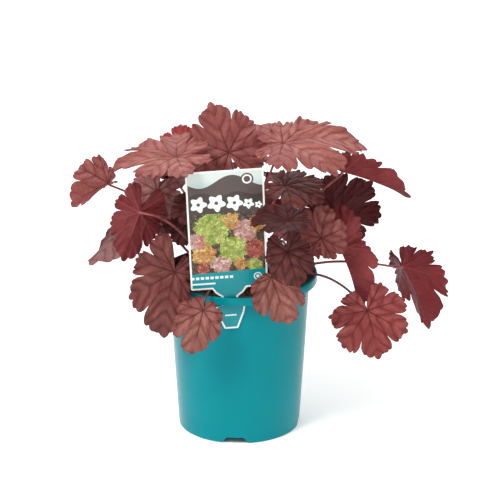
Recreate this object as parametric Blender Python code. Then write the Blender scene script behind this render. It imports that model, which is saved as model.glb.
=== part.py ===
"""Heuchera plant in its round nursery pot, with a printed label clipped behind the rim.

Metres, +Z up. The origin is the middle of the pot's underside, and the front, where the
label stands, faces -Y. Every leaf is one solid: a lobed blade on its own stalk, whose foot
stands in a plain hole in the plant's crown.
"""
import math
import random

import bmesh
import bpy
from mathutils import Matrix, Vector
from mathutils.bvhtree import BVHTree

MM = 0.001
GAP = 0.3 * MM
MERGE = 0.001 * MM
CUT_OVERRUN = 2 * MM

# Pot: a 140 mm round nursery pot with a turned-down rim
POT_SEGMENTS = 48
POT_HEIGHT = 144 * MM
RIM_RADIUS = 70 * MM
RIM_SKIRT = 7 * MM
WALL_TOP_RADIUS = 63.7 * MM
WALL_FOOT_RADIUS = 54.9 * MM
POT_WALL = 1.2 * MM
BASE_PAD_RADIUS = 30 * MM
BASE_RAISE = 6 * MM
BASE_PLATE = 1.5 * MM
BASE_SLOPE = 2 * MM
FOOT_NOTCHES = 4
FOOT_NOTCH_TURN = -93.8
FOOT_NOTCH_WIDE = 25.6 * MM
FOOT_NOTCH_NARROW = 14.6 * MM
FOOT_NOTCH_ROOF = 0.4 * MM
FOOT_NOTCH_CUT = 4 * MM
DRAIN_HOLES = 8
DRAIN_RING_RADIUS = 42 * MM
DRAIN_RADIUS = 4 * MM
DRAIN_SIDES = 8

# Potting mix
SOIL_TOP = 125 * MM
SOIL_SEGMENTS = 36
SOIL_RINGS = (33 * MM, 45 * MM, 56 * MM)
SOIL_UNEVEN = 1.6 * MM
SOIL_WAVES = (150, 170, 310)
SOIL_FACET_PLAY = 0.2 * MM

# Crown: the low woody dome that the leaves grow from
CROWN_SEGMENTS = 24
CROWN_STEPS = 6
CROWN_DOME_RADIUS = 30 * MM
CROWN_TOP = 136 * MM
CROWN_SIDE_RADIUS = 23.6 * MM
CROWN_DEPTH = 12 * MM
CROWN_MAX_LEAN = 47
ROOT_LEAN_SHARE = 0.62
ROOT_SPACING = 5.8 * MM
ROOT_DEPTH = 5 * MM
ROOT_HOLE_RADIUS = 2.15 * MM
ROOT_HOLE_SIDES = 6
SPACING_PASSES = 80

# Label: one flat plastic piece, panel, neck and tail
LABEL_THICK = 0.6 * MM
LABEL_HALF_WIDTH = 33.5 * MM
LABEL_TOP = 118 * MM
LABEL_BOTTOM = 8.6 * MM
LABEL_NECK_HALF = 7 * MM
LABEL_SHOULDER = 8 * MM
LABEL_SHOULDER_BEND = (0.62, 0.56)
LABEL_TAIL_HALF = 13 * MM
LABEL_TAIL_END_HALF = 6 * MM
LABEL_TAIL_TOP = -7.8 * MM
LABEL_TAIL_CHAMFER = MM
LABEL_TAIL_SIDE = 7 * MM
LABEL_TAIL_END = -30 * MM
LABEL_AT_X = -8 * MM
LABEL_AT_Y = -65.4 * MM
LABEL_ROLL = 2.6
LABEL_LEAN = 3.5
LABEL_TURN = 4.5
LABEL_SLOT_HALF = 8 * MM
LABEL_SLOT_PLAY = 1.3 * MM

# Leaves
BLADE_THICK = 0.8 * MM
STALK_TOP_RADIUS = 1.1 * MM
STALK_FOOT_RADIUS = 1.5 * MM
STALK_SIDES = 5
STALK_RINGS = 5
JUNCTION_RING = 1.5 * MM
NECK_DROP = 2.2 * MM
NECK_RUN = 0.6 * MM
LOBE_CENTRES = (-141, -95, -48, 0, 48, 95, 141)
LOBE_ENDS = (-166, -118, -71, -25, 25, 71, 118, 166)
EVEN_LOBES = (1, 1, 1, 1, 1, 1, 1)
TOOTH_ENDS = (-1, -0.34, 0.34, 1)
LOBE_STEPS = (-1, -0.67, -0.34, 0, 0.34, 0.67)
LOBE_ROUNDNESS = 3.3
TOOTH_DEPTH = 0.05
SINUS_RADIUS = 3 * MM
MIDDLE_RING = 0.52
SINUS_RING = 0.8
SIGHT = Vector((0, 0.944, -0.329))
UPRIGHT = Vector((0, 0, 1))
CLEARANCE = 0.35 * MM
FOLD_POWER = 1.3
PLEAT_RISE = 0.06
PLEAT_POWER = 1.5
RIPPLE_RISE = 0.035
LEAST_BEND = 0.01
DOME_LIP = 2 * MM
ARRIVING_HAND = 0.3
ARRIVING_FACE = 0.8
ARRIVING_TIP = 0.6
LEAST_ARRIVAL = 0.25

# How a leaf may give way to its neighbours: along its line in mm, sideways in mm, and in
# how steeply its stalk rises; the efforts put these in order
BEND_SHIFTS = (0, 3, -3, 6, -6, 9, -9, 12, -12, 16, -16, 20, -20, 25, -25, 30, -30)
BEND_BOWS = (0, 8, -8, 16, -16, 26, -26, 38, -38)
BEND_RISES = (0, 0.16, -0.14)
BOW_EFFORT = 0.3
RISE_EFFORT = 20

POT_COLOUR = (0.012, 0.235, 0.255, 1)
SOIL_COLOUR = (0.035, 0.022, 0.015, 1)
CROWN_COLOUR = (0.16, 0.075, 0.045, 1)
LABEL_COLOUR = (0.85, 0.87, 0.83, 1)
LEAF_COLOUR = (0.30, 0.085, 0.075, 1)


def leaf(name, at, tip, face, reach, back=0.66, slim=1, cup=8, fold=0, droop=18, curl=12,
         base=20, lean=0, notch=0.3, lobes=EVEN_LOBES, stalk=None, rise=0.42, slide=SIGHT,
         seed=1):
    """One leaf: its junction and reach in mm, its two directions, and its bends in degrees.

    tip runs from the junction to the end lobe and face is the way its upper side looks. back
    and slim are the reach of the back lobes and of the sides against that of the tip. cup and
    fold lift the blade at the junction, all round and at the sides. droop, curl and base then
    bend it down over its reach: all round, towards the tip and at the back lobes. lean bends
    one side alone down: that of the positive angles where it is positive. notch is how deep
    the cuts between the lobes go, against their length, and lobes lengthens or shortens each
    lobe in order of angle. stalk is the way its stalk arrives, rise how steeply it leaves the
    crown, and slide the line along which the leaf may give way.
    """
    return {"name": name, "at": Vector(at) * MM, "tip": Vector(tip).normalized(),
            "face": Vector(face).normalized(), "reach": reach * MM, "back": back, "slim": slim,
            "cup": cup, "fold": fold, "droop": droop, "curl": curl, "base": base,
            "lean": lean, "notch": notch, "lobes": lobes, "stalk": stalk, "rise": rise,
            "slide": slide, "seed": seed, "bow": 0.0}


# The leaves that the front shows, from the top of the plant down
FRONT_LEAVES = [
    leaf("leaf_top", (-9, -10, 258), (-0.36, 0.25, 0.9), (0, -0.9, 0.4), 48,
         cup=10, base=38, notch=0.25, lobes=(1, 1.02, 0.88, 0.97, 0.8, 0.87, 1), seed=1),
    leaf("leaf_upper_right", (38, -25, 271), (0.97, -0.05, 0.14), (0, -0.22, 0.97), 74,
         back=0.36, cup=12, droop=34, curl=14, notch=0.34, lobes=(0.9, 0.7, 0.64, 1, 1, 1, 1),
         seed=3),
    leaf("leaf_upper_left", (-54, -34, 261), (-0.98, -0.1, -0.05), (-0.05, -0.12, 0.98), 60,
         back=0.55, cup=8, droop=22, base=-10, notch=0.42, lobes=(1, 1, 0.8, 1, 0.95, 1.1, 1),
         seed=2),
    leaf("leaf_top_left_back", (-50, 30, 245), (-0.1, 0.1, 1), (0, 0.9, 0.3), 27,
         cup=14, stalk=(0.1, 0.4, 0.9), seed=4),
    leaf("leaf_top_right_back", (28, 45, 256), (0.6, 0.5, 0.1), (-0.1, -0.2, 0.97), 36,
         cup=6, slide=UPRIGHT, seed=5),
    leaf("leaf_far_left", (-115, -10, 230), (-0.93, -0.1, -0.38), (0, -0.46, 0.89), 39,
         back=0.22, slim=0.95, cup=0, fold=44, droop=10, lobes=(1, 1, 1, 1, 0.92, 1.25, 1),
         seed=6),
    leaf("leaf_right_folded", (92, 15, 233), (0.93, -0.05, -0.22), (0.15, 0.42, 0.9), 64,
         back=0.35, slim=0.5, cup=0, fold=58, droop=8, lobes=(1, 1, 0.62, 1, 0.62, 1, 1),
         seed=7),
    leaf("leaf_right_dark", (86, 30, 187), (0.6, 0, 0.6), (0.1, 0.9, 0.35), 46,
         cup=10, stalk=(0.7, 0.3, 0.6), seed=8),
    leaf("leaf_right_middle", (40, -30, 234), (0.8, -0.45, -0.15), (0, -0.25, 0.96), 38,
         back=0.5, cup=8, seed=9),
    leaf("leaf_over_label", (42, -96, 224), (-0.95, -0.2, 0.0), (0, -0.12, 0.98), 34,
         back=0.6, cup=14, droop=20, seed=10),
    leaf("leaf_right_inner", (72, -30, 186), (0.1, -0.2, 0.95), (-0.35, -0.85, 0.3), 32,
         cup=10, seed=11),
    leaf("leaf_right_hanging", (88, -25, 177), (0.42, -0.2, -0.9), (0.85, 0.5, 0.1), 60,
         back=0.7, slim=0.5, cup=4, fold=58, droop=10, lobes=(0.95, 0.95, 0.7, 1, 0.7, 0.95, 1),
         stalk=(0.95, 0.1, -0.25), seed=12),
    leaf("leaf_low_right", (113, -32, 119), (0.24, -0.25, -0.95), (0, -0.93, 0.35), 42,
         cup=14, droop=14, lobes=(0.92, 1, 1, 1.03, 1, 1, 0.82), stalk=(0.62, -0.25, -0.74),
         rise=0.6, seed=13),
    leaf("leaf_low_far_right", (147, 10, 145), (0.47, 0, -0.9), (0.55, 0.75, 0.35), 62,
         back=0.5, slim=0.7, cup=8, fold=24, lobes=(0.62, 0.95, 0.9, 1, 0.9, 0.95, 0.7),
         stalk=(0.93, 0.15, -0.2), rise=0.4, seed=14),
    leaf("leaf_front_right_upper", (41, -86, 193), (0.3, -0.15, -0.93), (-0.05, -0.95, 0.3), 32,
         slim=0.75, cup=12, stalk=(0.1, -0.95, -0.2), rise=0.5, seed=15),
    leaf("leaf_front_right", (28, -79, 167), (0.34, -0.1, -0.94), (-0.1, -0.97, 0.15), 45,
         back=0.22, slim=0.85, cup=8, fold=26, droop=12, lobes=(1, 0.9, 0.92, 1, 0.86, 0.95, 0.6),
         stalk=(0.2, -0.55, -0.8), rise=0.6, seed=16),
    leaf("leaf_front_left", (-56, -60, 165), (-0.2, -0.12, -0.96), (-0.2, -0.95, 0.2), 64,
         back=0.6, slim=0.8, cup=10, droop=20, lean=-50,
         lobes=(0.5, 0.36, 0.44, 1, 0.87, 0.9, 0.92), stalk=(-0.4, -0.6, -0.65), rise=0.55,
         seed=17),
    leaf("leaf_low_front_left", (-31, -82, 138), (-0.24, -0.12, -0.95), (0, -0.98, 0.15), 41,
         back=0.45, slim=0.78, cup=16, droop=16, lean=-20,
         lobes=(0.65, 0.78, 0.78, 1, 0.95, 1, 0.75), stalk=(-0.1, -0.3, -0.95), rise=0.7,
         seed=18),
    leaf("leaf_left", (-87, -30, 210), (-0.32, -0.1, -0.9), (0.1, 0.9, 0.35), 46,
         back=0.62, slim=0.66, cup=8, fold=14, lobes=(1, 1, 0.8, 1, 0.8, 1, 1),
         stalk=(-0.95, 0.15, 0.0), seed=19),
    leaf("leaf_left_folded", (-99, -2, 206), (-0.42, 0, -0.9), (0.8, -0.5, 0.3), 68,
         back=0.4, slim=0.38, cup=4, fold=25, seed=20),
    leaf("leaf_left_inner", (-72, -20, 226), (-0.4, -0.4, -0.8), (0, -0.8, 0.6), 29,
         cup=8, seed=21),
    leaf("leaf_left_inner_back", (-70, 20, 202), (-0.5, 0.1, 0.6), (0.1, 0.9, 0.3), 24,
         cup=8, stalk=(-0.7, 0.3, 0.5), seed=22),
    leaf("leaf_behind_label_upper", (-37, -50, 222), (-0.95, -0.1, -0.2), (0, -0.5, 0.85), 24,
         cup=8, seed=23),
    leaf("leaf_behind_label_lower", (-44, -38, 208), (-0.4, -0.35, -0.8), (-0.1, -0.85, 0.5), 27,
         cup=8, seed=24),
    leaf("leaf_left_shaded", (-60, 10, 202), (-0.5, -0.3, -0.8), (0, -0.85, 0.5), 27,
         cup=8, seed=25),
]

# The leaves behind, in tiers: count, first and last bearing, junction radius and height,
# step between neighbours, reach, and how far the tips point down
BACK_TIERS = (
    ("leaf_back_low", 4, 56, 124, 94, 160, 15, 46, 42),
    ("leaf_back_middle", 5, 46, 143, 84, 196, 14, 38, 26),
    ("leaf_back_top", 3, 78, 124, 66, 230, -6, 32, 10),
)
BACK_SEED = 5
BACK_JITTER = 4
BACK_FACE_TILT = 30
BACK_BASE = 0.54
BACK_CUP = 8
BACK_DROOP = 24


def back_leaves():
    """The leaves of the back, spread evenly in tiers and set a little out of line."""
    draw = random.Random(BACK_SEED)
    rows = []
    for label, count, first, last, radius, height, step, reach, down in BACK_TIERS:
        for index in range(count):
            off = [draw.uniform(-1, 1) * BACK_JITTER for _ in range(4)]
            bearing = math.radians(first + (last - first) * index / (count - 1) + off[0])
            out = Vector((math.cos(bearing), math.sin(bearing), 0))
            dip = math.radians(down + off[1])
            tip = out * math.cos(dip) - UPRIGHT * math.sin(dip)
            face = out * math.sin(math.radians(BACK_FACE_TILT)) + UPRIGHT
            at = out * (radius + off[2]) + UPRIGHT * (height + step * (index % 2))
            rows.append(leaf(f"{label}_{index + 1}", at, tip, face, reach + off[3], back=BACK_BASE,
                             cup=BACK_CUP, droop=BACK_DROOP, slide=UPRIGHT,
                             seed=BACK_SEED + len(rows)))
    return rows


def axes_of(row):
    """The leaf's side, tip and face directions as the columns of a matrix."""
    tip = row["tip"]
    face = (row["face"] - tip * row["face"].dot(tip)).normalized()
    side = tip.cross(face)
    return Matrix((side, tip, face)).transposed()


def lobe_place(angle):
    """Where an angle lies across its lobe: 0 on the lobe's vein, -1 and 1 at its notches."""
    for start, middle, end in zip(LOBE_ENDS, LOBE_CENTRES, LOBE_ENDS[1:]):
        if start <= angle <= end:
            return (angle - middle) / (middle - start if angle < middle else end - middle)
    return 1.0


def tooth_place(place):
    """Where a place across a lobe lies across its tooth: 0 at the point, 1 at the dips."""
    for start, end in zip(TOOTH_ENDS, TOOTH_ENDS[1:]):
        if start <= place <= end:
            return abs(2 * place - start - end) / (end - start)
    return 1.0


def lobe_length(row, angle):
    """How far the lobes at an angle are lengthened, blended from each lobe to the next."""
    lobes = row["lobes"]
    for index, (start, end) in enumerate(zip(LOBE_CENTRES, LOBE_CENTRES[1:])):
        if start <= angle <= end:
            share = (angle - start) / (end - start)
            return lobes[index] * (1 - share) + lobes[index + 1] * share
    return lobes[0] if angle < 0 else lobes[-1]


def margin_radius(row, angle):
    """Distance from the junction to the blade's edge, at an angle from the tip in degrees."""
    away = abs(angle)
    last = LOBE_ENDS[-1]
    held = math.radians(min(away, last))
    full = row["reach"] * ((1 + row["back"]) / 2 + (1 - row["back"]) / 2 * math.cos(held))
    full *= (1 - (1 - row["slim"]) * math.sin(held) ** 2) * lobe_length(row, angle)
    place = lobe_place(angle)
    radius = full * (1 - row["notch"] * abs(place) ** LOBE_ROUNDNESS)
    radius *= 1 - TOOTH_DEPTH * tooth_place(place) ** 2
    if away <= last:
        return radius
    turn = math.radians(away - last)
    rest = math.radians(180 - away)
    return (radius * SINUS_RADIUS * math.sin(turn + rest)
            / (radius * math.sin(turn) + SINUS_RADIUS * math.sin(rest)))


def blade_point(row, angle, share):
    """A point of the blade's middle surface, in the leaf's own axes."""
    radians = math.radians(angle)
    forward = math.cos(radians)
    side = math.sin(radians)
    arc = share * margin_radius(row, angle)
    climb = math.radians(row["cup"] + row["fold"] * abs(side) ** FOLD_POWER)
    bend = row["droop"] + row["curl"] * max(0, forward) ** 2
    bend += row["base"] * max(0, -forward) ** 2 + max(0, row["lean"] * side)
    bend = math.radians(bend) / row["reach"]
    if abs(bend) < LEAST_BEND:
        bend = LEAST_BEND
    out = (math.sin(climb) - math.sin(climb - bend * arc)) / bend
    up = (math.cos(climb - bend * arc) - math.cos(climb)) / bend
    up += PLEAT_RISE * arc * abs(lobe_place(angle)) ** PLEAT_POWER
    ripple = math.sin(3 * radians + row["seed"]) + 0.6 * math.sin(5 * radians + 2.1 * row["seed"])
    up += RIPPLE_RISE * row["reach"] * (arc / row["reach"]) ** 2 * ripple
    return Vector((out * side, out * forward, up))


def blade_normal(row, angle, share):
    """The upper side's direction at a point of the blade, in the leaf's own axes."""
    step = 0.02
    along = blade_point(row, angle, share + step) - blade_point(row, angle, share - step)
    low, high = max(angle - 2, -180), min(angle + 2, 180)
    across = blade_point(row, high, share) - blade_point(row, low, share)
    normal = across.cross(along)
    return normal.normalized() if normal.length > 0 else Vector((0, 0, 1))


def ring_angles():
    """The angles of the blade's edge points, of its middle ring and of its junction ring."""
    edge = []
    for start, middle, end in zip(LOBE_ENDS, LOBE_CENTRES, LOBE_ENDS[1:]):
        for step in LOBE_STEPS:
            edge.append(middle + step * (middle - start if step < 0 else end - middle))
    edge += [LOBE_ENDS[-1], 180]
    centre = sorted(LOBE_CENTRES + LOBE_ENDS[1:-1]) + [180]
    junction = [-144 + 72 * index for index in range(STALK_SIDES)]
    return edge, centre, junction


def zip_rings(outer, inner, outer_angles, inner_angles):
    """Triangles between two rings of unlike counts, both in order of angle."""
    faces = []
    i = j = 0
    count_o, count_i = len(outer), len(inner)
    while i < count_o or j < count_i:
        next_o = outer_angles[(i + 1) % count_o] + (360 if i + 1 >= count_o else 0)
        next_i = inner_angles[(j + 1) % count_i] + (360 if j + 1 >= count_i else 0)
        if j >= count_i or (i < count_o and next_o <= next_i):
            faces.append((outer[i % count_o], outer[(i + 1) % count_o], inner[j % count_i]))
            i += 1
        else:
            faces.append((outer[i % count_o], inner[(j + 1) % count_i], inner[j % count_i]))
            j += 1
    return faces


def bezier(start, start_hand, end_hand, end, share):
    """A point of a cubic curve."""
    rest = 1 - share
    return (start * rest ** 3 + start_hand * 3 * rest ** 2 * share
            + end_hand * 3 * rest * share ** 2 + end * share ** 3)


def stalk_path(row, root):
    """The stalk's middle line, from under the blade down to its foot in the crown."""
    axes = axes_of(row)
    face, tip = axes.col[2], axes.col[1]
    arrive = face * ARRIVING_FACE + tip * ARRIVING_TIP
    if row["stalk"]:
        arrive = Vector(row["stalk"]).normalized()
    arrive = (arrive + face * max(0, LEAST_ARRIVAL - arrive.dot(face))).normalized()
    dome_centre = Vector((0, 0, CROWN_TOP - CROWN_DOME_RADIUS))
    foot = dome_centre + root * (CROWN_DOME_RADIUS - ROOT_DEPTH)
    mouth = dome_centre + root * (CROWN_DOME_RADIUS + DOME_LIP)
    top = row["at"] - face * NECK_DROP - arrive * NECK_RUN
    length = (top - mouth).length
    across = (top - mouth).cross(Vector((0, 0, 1))).normalized()
    lower = mouth + root * length * row["rise"] + across * row["bow"]
    upper = top - arrive * length * ARRIVING_HAND
    points = [bezier(top, upper, lower, mouth, index / (STALK_RINGS + 1))
              for index in range(STALK_RINGS + 2)]
    return points + [foot]


def blade_solid(row, spare=0.0):
    """The blade in the leaf's own axes, open under the junction: vertices, triangles and the
    ring that the stalk grows from. spare makes it thicker all over.
    """
    edge, centre, junction = ring_angles()
    half = BLADE_THICK / 2 + spare
    verts = []

    def ring(angles, share_of):
        upper, lower = [], []
        for angle in angles:
            share = share_of(angle)
            point = blade_point(row, angle, share)
            normal = blade_normal(row, angle, share)
            for side, store in ((1, upper), (-1, lower)):
                store.append(len(verts))
                verts.append(point + normal * half * side)
        return upper, lower

    edge_up, edge_low = ring(edge, lambda angle: 1.0)
    mid_up, mid_low = ring(centre, lambda angle: SINUS_RING if angle == 180 else MIDDLE_RING)
    near_up, near_low = ring(junction, lambda angle: JUNCTION_RING / margin_radius(row, angle))
    upper = zip_rings(edge_up, mid_up, edge, centre) + zip_rings(mid_up, near_up, centre, junction)
    lower = zip_rings(edge_low, mid_low, edge, centre) + zip_rings(mid_low, near_low, centre, junction)
    faces = [face[::-1] for face in upper] + lower
    count = len(edge)
    for index in range(count):
        after = (index + 1) % count
        faces.append((edge_up[index], edge_low[index], edge_low[after]))
        faces.append((edge_up[index], edge_low[after], edge_up[after]))
    middle = len(verts)
    verts.append(Vector((0, 0, half)))
    for index in range(STALK_SIDES):
        faces.append((near_up[(index + 1) % STALK_SIDES], near_up[index], middle))
    return verts, faces, near_low


def leaf_solid(row, root, blade, spare=0.0):
    """The closed leaf, blade and stalk, as vertices and triangles."""
    axes = axes_of(row)
    local, blade_faces, before = blade
    verts = [row["at"] + axes @ vert for vert in local]
    faces = list(blade_faces)
    junction = ring_angles()[2]
    path = stalk_path(row, root)
    side, tip = axes.col[0].copy(), axes.col[1].copy()
    for index, point in enumerate(path):
        if index == 0:
            heading = (path[1] - path[0]).normalized() - axes.col[2]
        elif index == len(path) - 1:
            heading = path[index] - path[index - 1]
        else:
            heading = (path[index + 1] - point).normalized() + (point - path[index - 1]).normalized()
        heading.normalize()
        side = (side - heading * side.dot(heading)).normalized()
        across = side.cross(heading)
        tip = across if across.dot(tip) > 0 else -across
        share = index / (len(path) - 1)
        radius = STALK_TOP_RADIUS + (STALK_FOOT_RADIUS - STALK_TOP_RADIUS) * share + spare
        loop = []
        for angle in junction:
            turn = math.radians(angle)
            loop.append(len(verts))
            verts.append(point + (side * math.sin(turn) + tip * math.cos(turn)) * radius)
        for corner in range(STALK_SIDES):
            after = (corner + 1) % STALK_SIDES
            faces.append((before[corner], loop[corner], loop[after]))
            faces.append((before[corner], loop[after], before[after]))
        before = loop
    faces += [(before[0], before[index + 1], before[index + 2]) for index in range(STALK_SIDES - 2)]
    return verts, faces


def root_directions(rows):
    """Where each stalk stands on the crown's dome, spread so that no two holes meet."""
    dome_centre = Vector((0, 0, CROWN_TOP - CROWN_DOME_RADIUS))
    roots = []
    for row in rows:
        out = row["at"] - dome_centre
        lean = min(math.degrees(math.atan2(out.xy.length, out.z)) * ROOT_LEAN_SHARE,
                   CROWN_MAX_LEAN)
        bearing = math.atan2(out.y, out.x)
        flat = math.sin(math.radians(lean))
        roots.append(Vector((flat * math.cos(bearing), flat * math.sin(bearing),
                             math.cos(math.radians(lean)))))
    apart = ROOT_SPACING / CROWN_DOME_RADIUS
    lowest = math.cos(math.radians(CROWN_MAX_LEAN))
    for _ in range(SPACING_PASSES):
        for first in range(len(roots)):
            for second in range(first):
                between = roots[first] - roots[second]
                if between.length < apart:
                    push = between.normalized() * (apart - between.length) * 0.5
                    roots[first] = (roots[first] + push).normalized()
                    roots[second] = (roots[second] - push).normalized()
        for index, root in enumerate(roots):
            if root.z < lowest:
                flat = Vector((root.x, root.y, 0)).normalized() * math.sqrt(1 - lowest ** 2)
                roots[index] = Vector((flat.x, flat.y, lowest))
    return roots


def bends():
    """The small moves that a leaf may make to pass clear of its neighbours, smallest first."""
    moves = []
    for shift in BEND_SHIFTS:
        for bow in BEND_BOWS:
            for rise in BEND_RISES:
                effort = abs(shift) + BOW_EFFORT * abs(bow) + RISE_EFFORT * abs(rise)
                moves.append((effort, shift, bow, rise))
    return [move[1:] for move in sorted(moves, key=lambda move: move[0])]


def stalk_meets_blade(tree, blade_faces):
    """Whether the stalk, past its first two rings, crosses its own blade."""
    clear_of_neck = blade_faces + 4 * STALK_SIDES
    return any(first < blade_faces and second >= clear_of_neck for first, second in tree.overlap(tree))


def settle(rows, roots, fixed):
    """Bend each leaf clear of the pot, the label and the leaves already in place."""
    placed = list(fixed)
    for row, root in zip(rows, roots):
        blade = blade_solid(row, CLEARANCE)
        start, rise = row["at"].copy(), row["rise"]
        best = None
        for shift, bow, more in bends():
            row["at"] = start + row["slide"] * shift * MM
            row["bow"] = bow * MM
            row["rise"] = rise + more
            tree = BVHTree.FromPolygons(*leaf_solid(row, root, blade, CLEARANCE))
            hits = [name for name, other in placed if tree.overlap(other)]
            if stalk_meets_blade(tree, len(blade[1])):
                hits.append(row["name"])
            if best is None or len(hits) < len(best[0]):
                best = (hits, tree, shift, bow, more)
            if not hits:
                break
        tree, shift, bow, more = best[1:]
        row["at"] = start + row["slide"] * shift * MM
        row["bow"] = bow * MM
        row["rise"] = rise + more
        placed.append((row["name"], tree))


def material(name, colour, roughness):
    """A Principled material of one colour."""
    made = bpy.data.materials.new(name)
    made.use_nodes = True
    shader = made.node_tree.nodes["Principled BSDF"]
    shader.inputs["Base Color"].default_value = colour
    shader.inputs["Roughness"].default_value = roughness
    shader.inputs["Metallic"].default_value = 0
    made.diffuse_color = colour
    return made


def add_object(name, bm, colour=None, roughness=0.5, smooth_angle=40):
    """Link a mesh as an object with its own material, or as a hidden cutter with none."""
    mesh = bpy.data.meshes.new(name)
    bmesh.ops.recalc_face_normals(bm, faces=bm.faces)
    bm.to_mesh(mesh)
    bm.free()
    made = bpy.data.objects.new(name, mesh)
    bpy.context.collection.objects.link(made)
    if colour is None:
        made.hide_render = True
        made.display_type = "WIRE"
        return made
    mesh.materials.append(material(name, colour, roughness))
    mesh.shade_smooth()
    mesh.set_sharp_from_angle(angle=math.radians(smooth_angle))
    return made


def turned(profile, segments):
    """A solid of revolution round Z, from (radius, height) points that start and end on the axis."""
    bm = bmesh.new()
    verts = [bm.verts.new((radius, 0, height)) for radius, height in profile]
    edges = [bm.edges.new(pair) for pair in zip(verts, verts[1:])]
    bmesh.ops.spin(bm, geom=verts + edges, cent=(0, 0, 0), axis=(0, 0, 1),
                   angle=2 * math.pi, steps=segments, use_merge=True)
    bmesh.ops.remove_doubles(bm, verts=bm.verts, dist=MERGE)
    return bm


def cut(target, cutter):
    """Take the cutter's shape out of the target."""
    difference = target.modifiers.new(cutter.name, "BOOLEAN")
    difference.operation = "DIFFERENCE"
    difference.object = cutter
    difference.solver = "EXACT"


def wall_radius(height):
    """Outer radius of the pot's tapered wall."""
    return WALL_FOOT_RADIUS + (WALL_TOP_RADIUS - WALL_FOOT_RADIUS) * height / POT_HEIGHT


def add_prism(bm, outline, low, high, place):
    """Add a straight prism with a flat outline of (x, y) points between two heights."""
    bottom = [bm.verts.new(place @ Vector((x, y, low))) for x, y in outline]
    top = [bm.verts.new(place @ Vector((x, y, high))) for x, y in outline]
    bm.faces.new(bottom[::-1])
    bm.faces.new(top)
    count = len(outline)
    for index in range(count):
        after = (index + 1) % count
        bm.faces.new((bottom[index], bottom[after], top[after], top[index]))


def regular_outline(sides, radius):
    """Corners of a regular polygon."""
    return [(radius * math.cos(2 * math.pi * index / sides), radius * math.sin(2 * math.pi * index / sides))
            for index in range(sides)]


def add_pot():
    """The pot: tapered wall, turned-down rim, stepped base with notches and drain holes."""
    rim_inside = RIM_RADIUS - POT_WALL
    under_rim = POT_HEIGHT - POT_WALL
    raised_top = BASE_RAISE + BASE_PLATE
    profile = [
        (0, 0), (BASE_PAD_RADIUS, 0), (BASE_PAD_RADIUS + BASE_SLOPE, BASE_RAISE),
        (wall_radius(BASE_RAISE) - POT_WALL, BASE_RAISE), (WALL_FOOT_RADIUS - POT_WALL, 0),
        (WALL_FOOT_RADIUS, 0), (wall_radius(under_rim), under_rim), (rim_inside, under_rim),
        (rim_inside, POT_HEIGHT - RIM_SKIRT), (RIM_RADIUS, POT_HEIGHT - RIM_SKIRT),
        (RIM_RADIUS, POT_HEIGHT), (WALL_TOP_RADIUS - POT_WALL, POT_HEIGHT),
        (wall_radius(raised_top) - POT_WALL, raised_top),
        (BASE_PAD_RADIUS + BASE_SLOPE - POT_WALL, raised_top),
        (BASE_PAD_RADIUS - POT_WALL, BASE_PLATE), (0, BASE_PLATE),
    ]
    pot = add_object("pot", turned(profile, POT_SEGMENTS), POT_COLOUR, 0.35)

    cutter = bmesh.new()
    half_wide, half_narrow = FOOT_NOTCH_WIDE / 2, FOOT_NOTCH_NARROW / 2
    roof = BASE_RAISE - FOOT_NOTCH_ROOF
    notch = [(-half_wide - MM, -MM), (half_wide + MM, -MM), (half_narrow, roof), (-half_narrow, roof)]
    for index in range(FOOT_NOTCHES):
        turn = Matrix.Rotation(math.radians(FOOT_NOTCH_TURN + 90 + 90 * index), 4, "Z")
        stand = Matrix.Rotation(math.radians(90), 4, "X")
        add_prism(cutter, notch, WALL_FOOT_RADIUS - FOOT_NOTCH_CUT, WALL_FOOT_RADIUS + FOOT_NOTCH_CUT,
                  turn @ stand)
    for index in range(DRAIN_HOLES):
        bearing = 2 * math.pi * (index + 0.5) / DRAIN_HOLES
        at = Vector((DRAIN_RING_RADIUS * math.cos(bearing), DRAIN_RING_RADIUS * math.sin(bearing), 0))
        add_prism(cutter, regular_outline(DRAIN_SIDES, DRAIN_RADIUS), BASE_RAISE - CUT_OVERRUN,
                  BASE_RAISE + BASE_PLATE + CUT_OVERRUN, Matrix.Translation(at))
    slot_near = LABEL_AT_Y + LABEL_SLOT_PLAY
    slot_far = LABEL_AT_Y - LABEL_SLOT_PLAY
    slot = [(LABEL_AT_X - LABEL_SLOT_HALF, slot_far), (LABEL_AT_X + LABEL_SLOT_HALF, slot_far),
            (LABEL_AT_X + LABEL_SLOT_HALF, slot_near), (LABEL_AT_X - LABEL_SLOT_HALF, slot_near)]
    add_prism(cutter, slot, under_rim - CUT_OVERRUN, POT_HEIGHT + CUT_OVERRUN, Matrix.Identity(4))
    cut(pot, add_object("pot_cutter", cutter))
    return pot


def soil_height(x, y):
    """Height of the potting mix's uneven top."""
    long_wave, cross_wave, short_wave = SOIL_WAVES
    swell = math.sin(long_wave * x + 1) * math.cos(cross_wave * y) + 0.5 * math.sin(short_wave * y + 2)
    return SOIL_TOP + SOIL_UNEVEN * swell / 1.5


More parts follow.
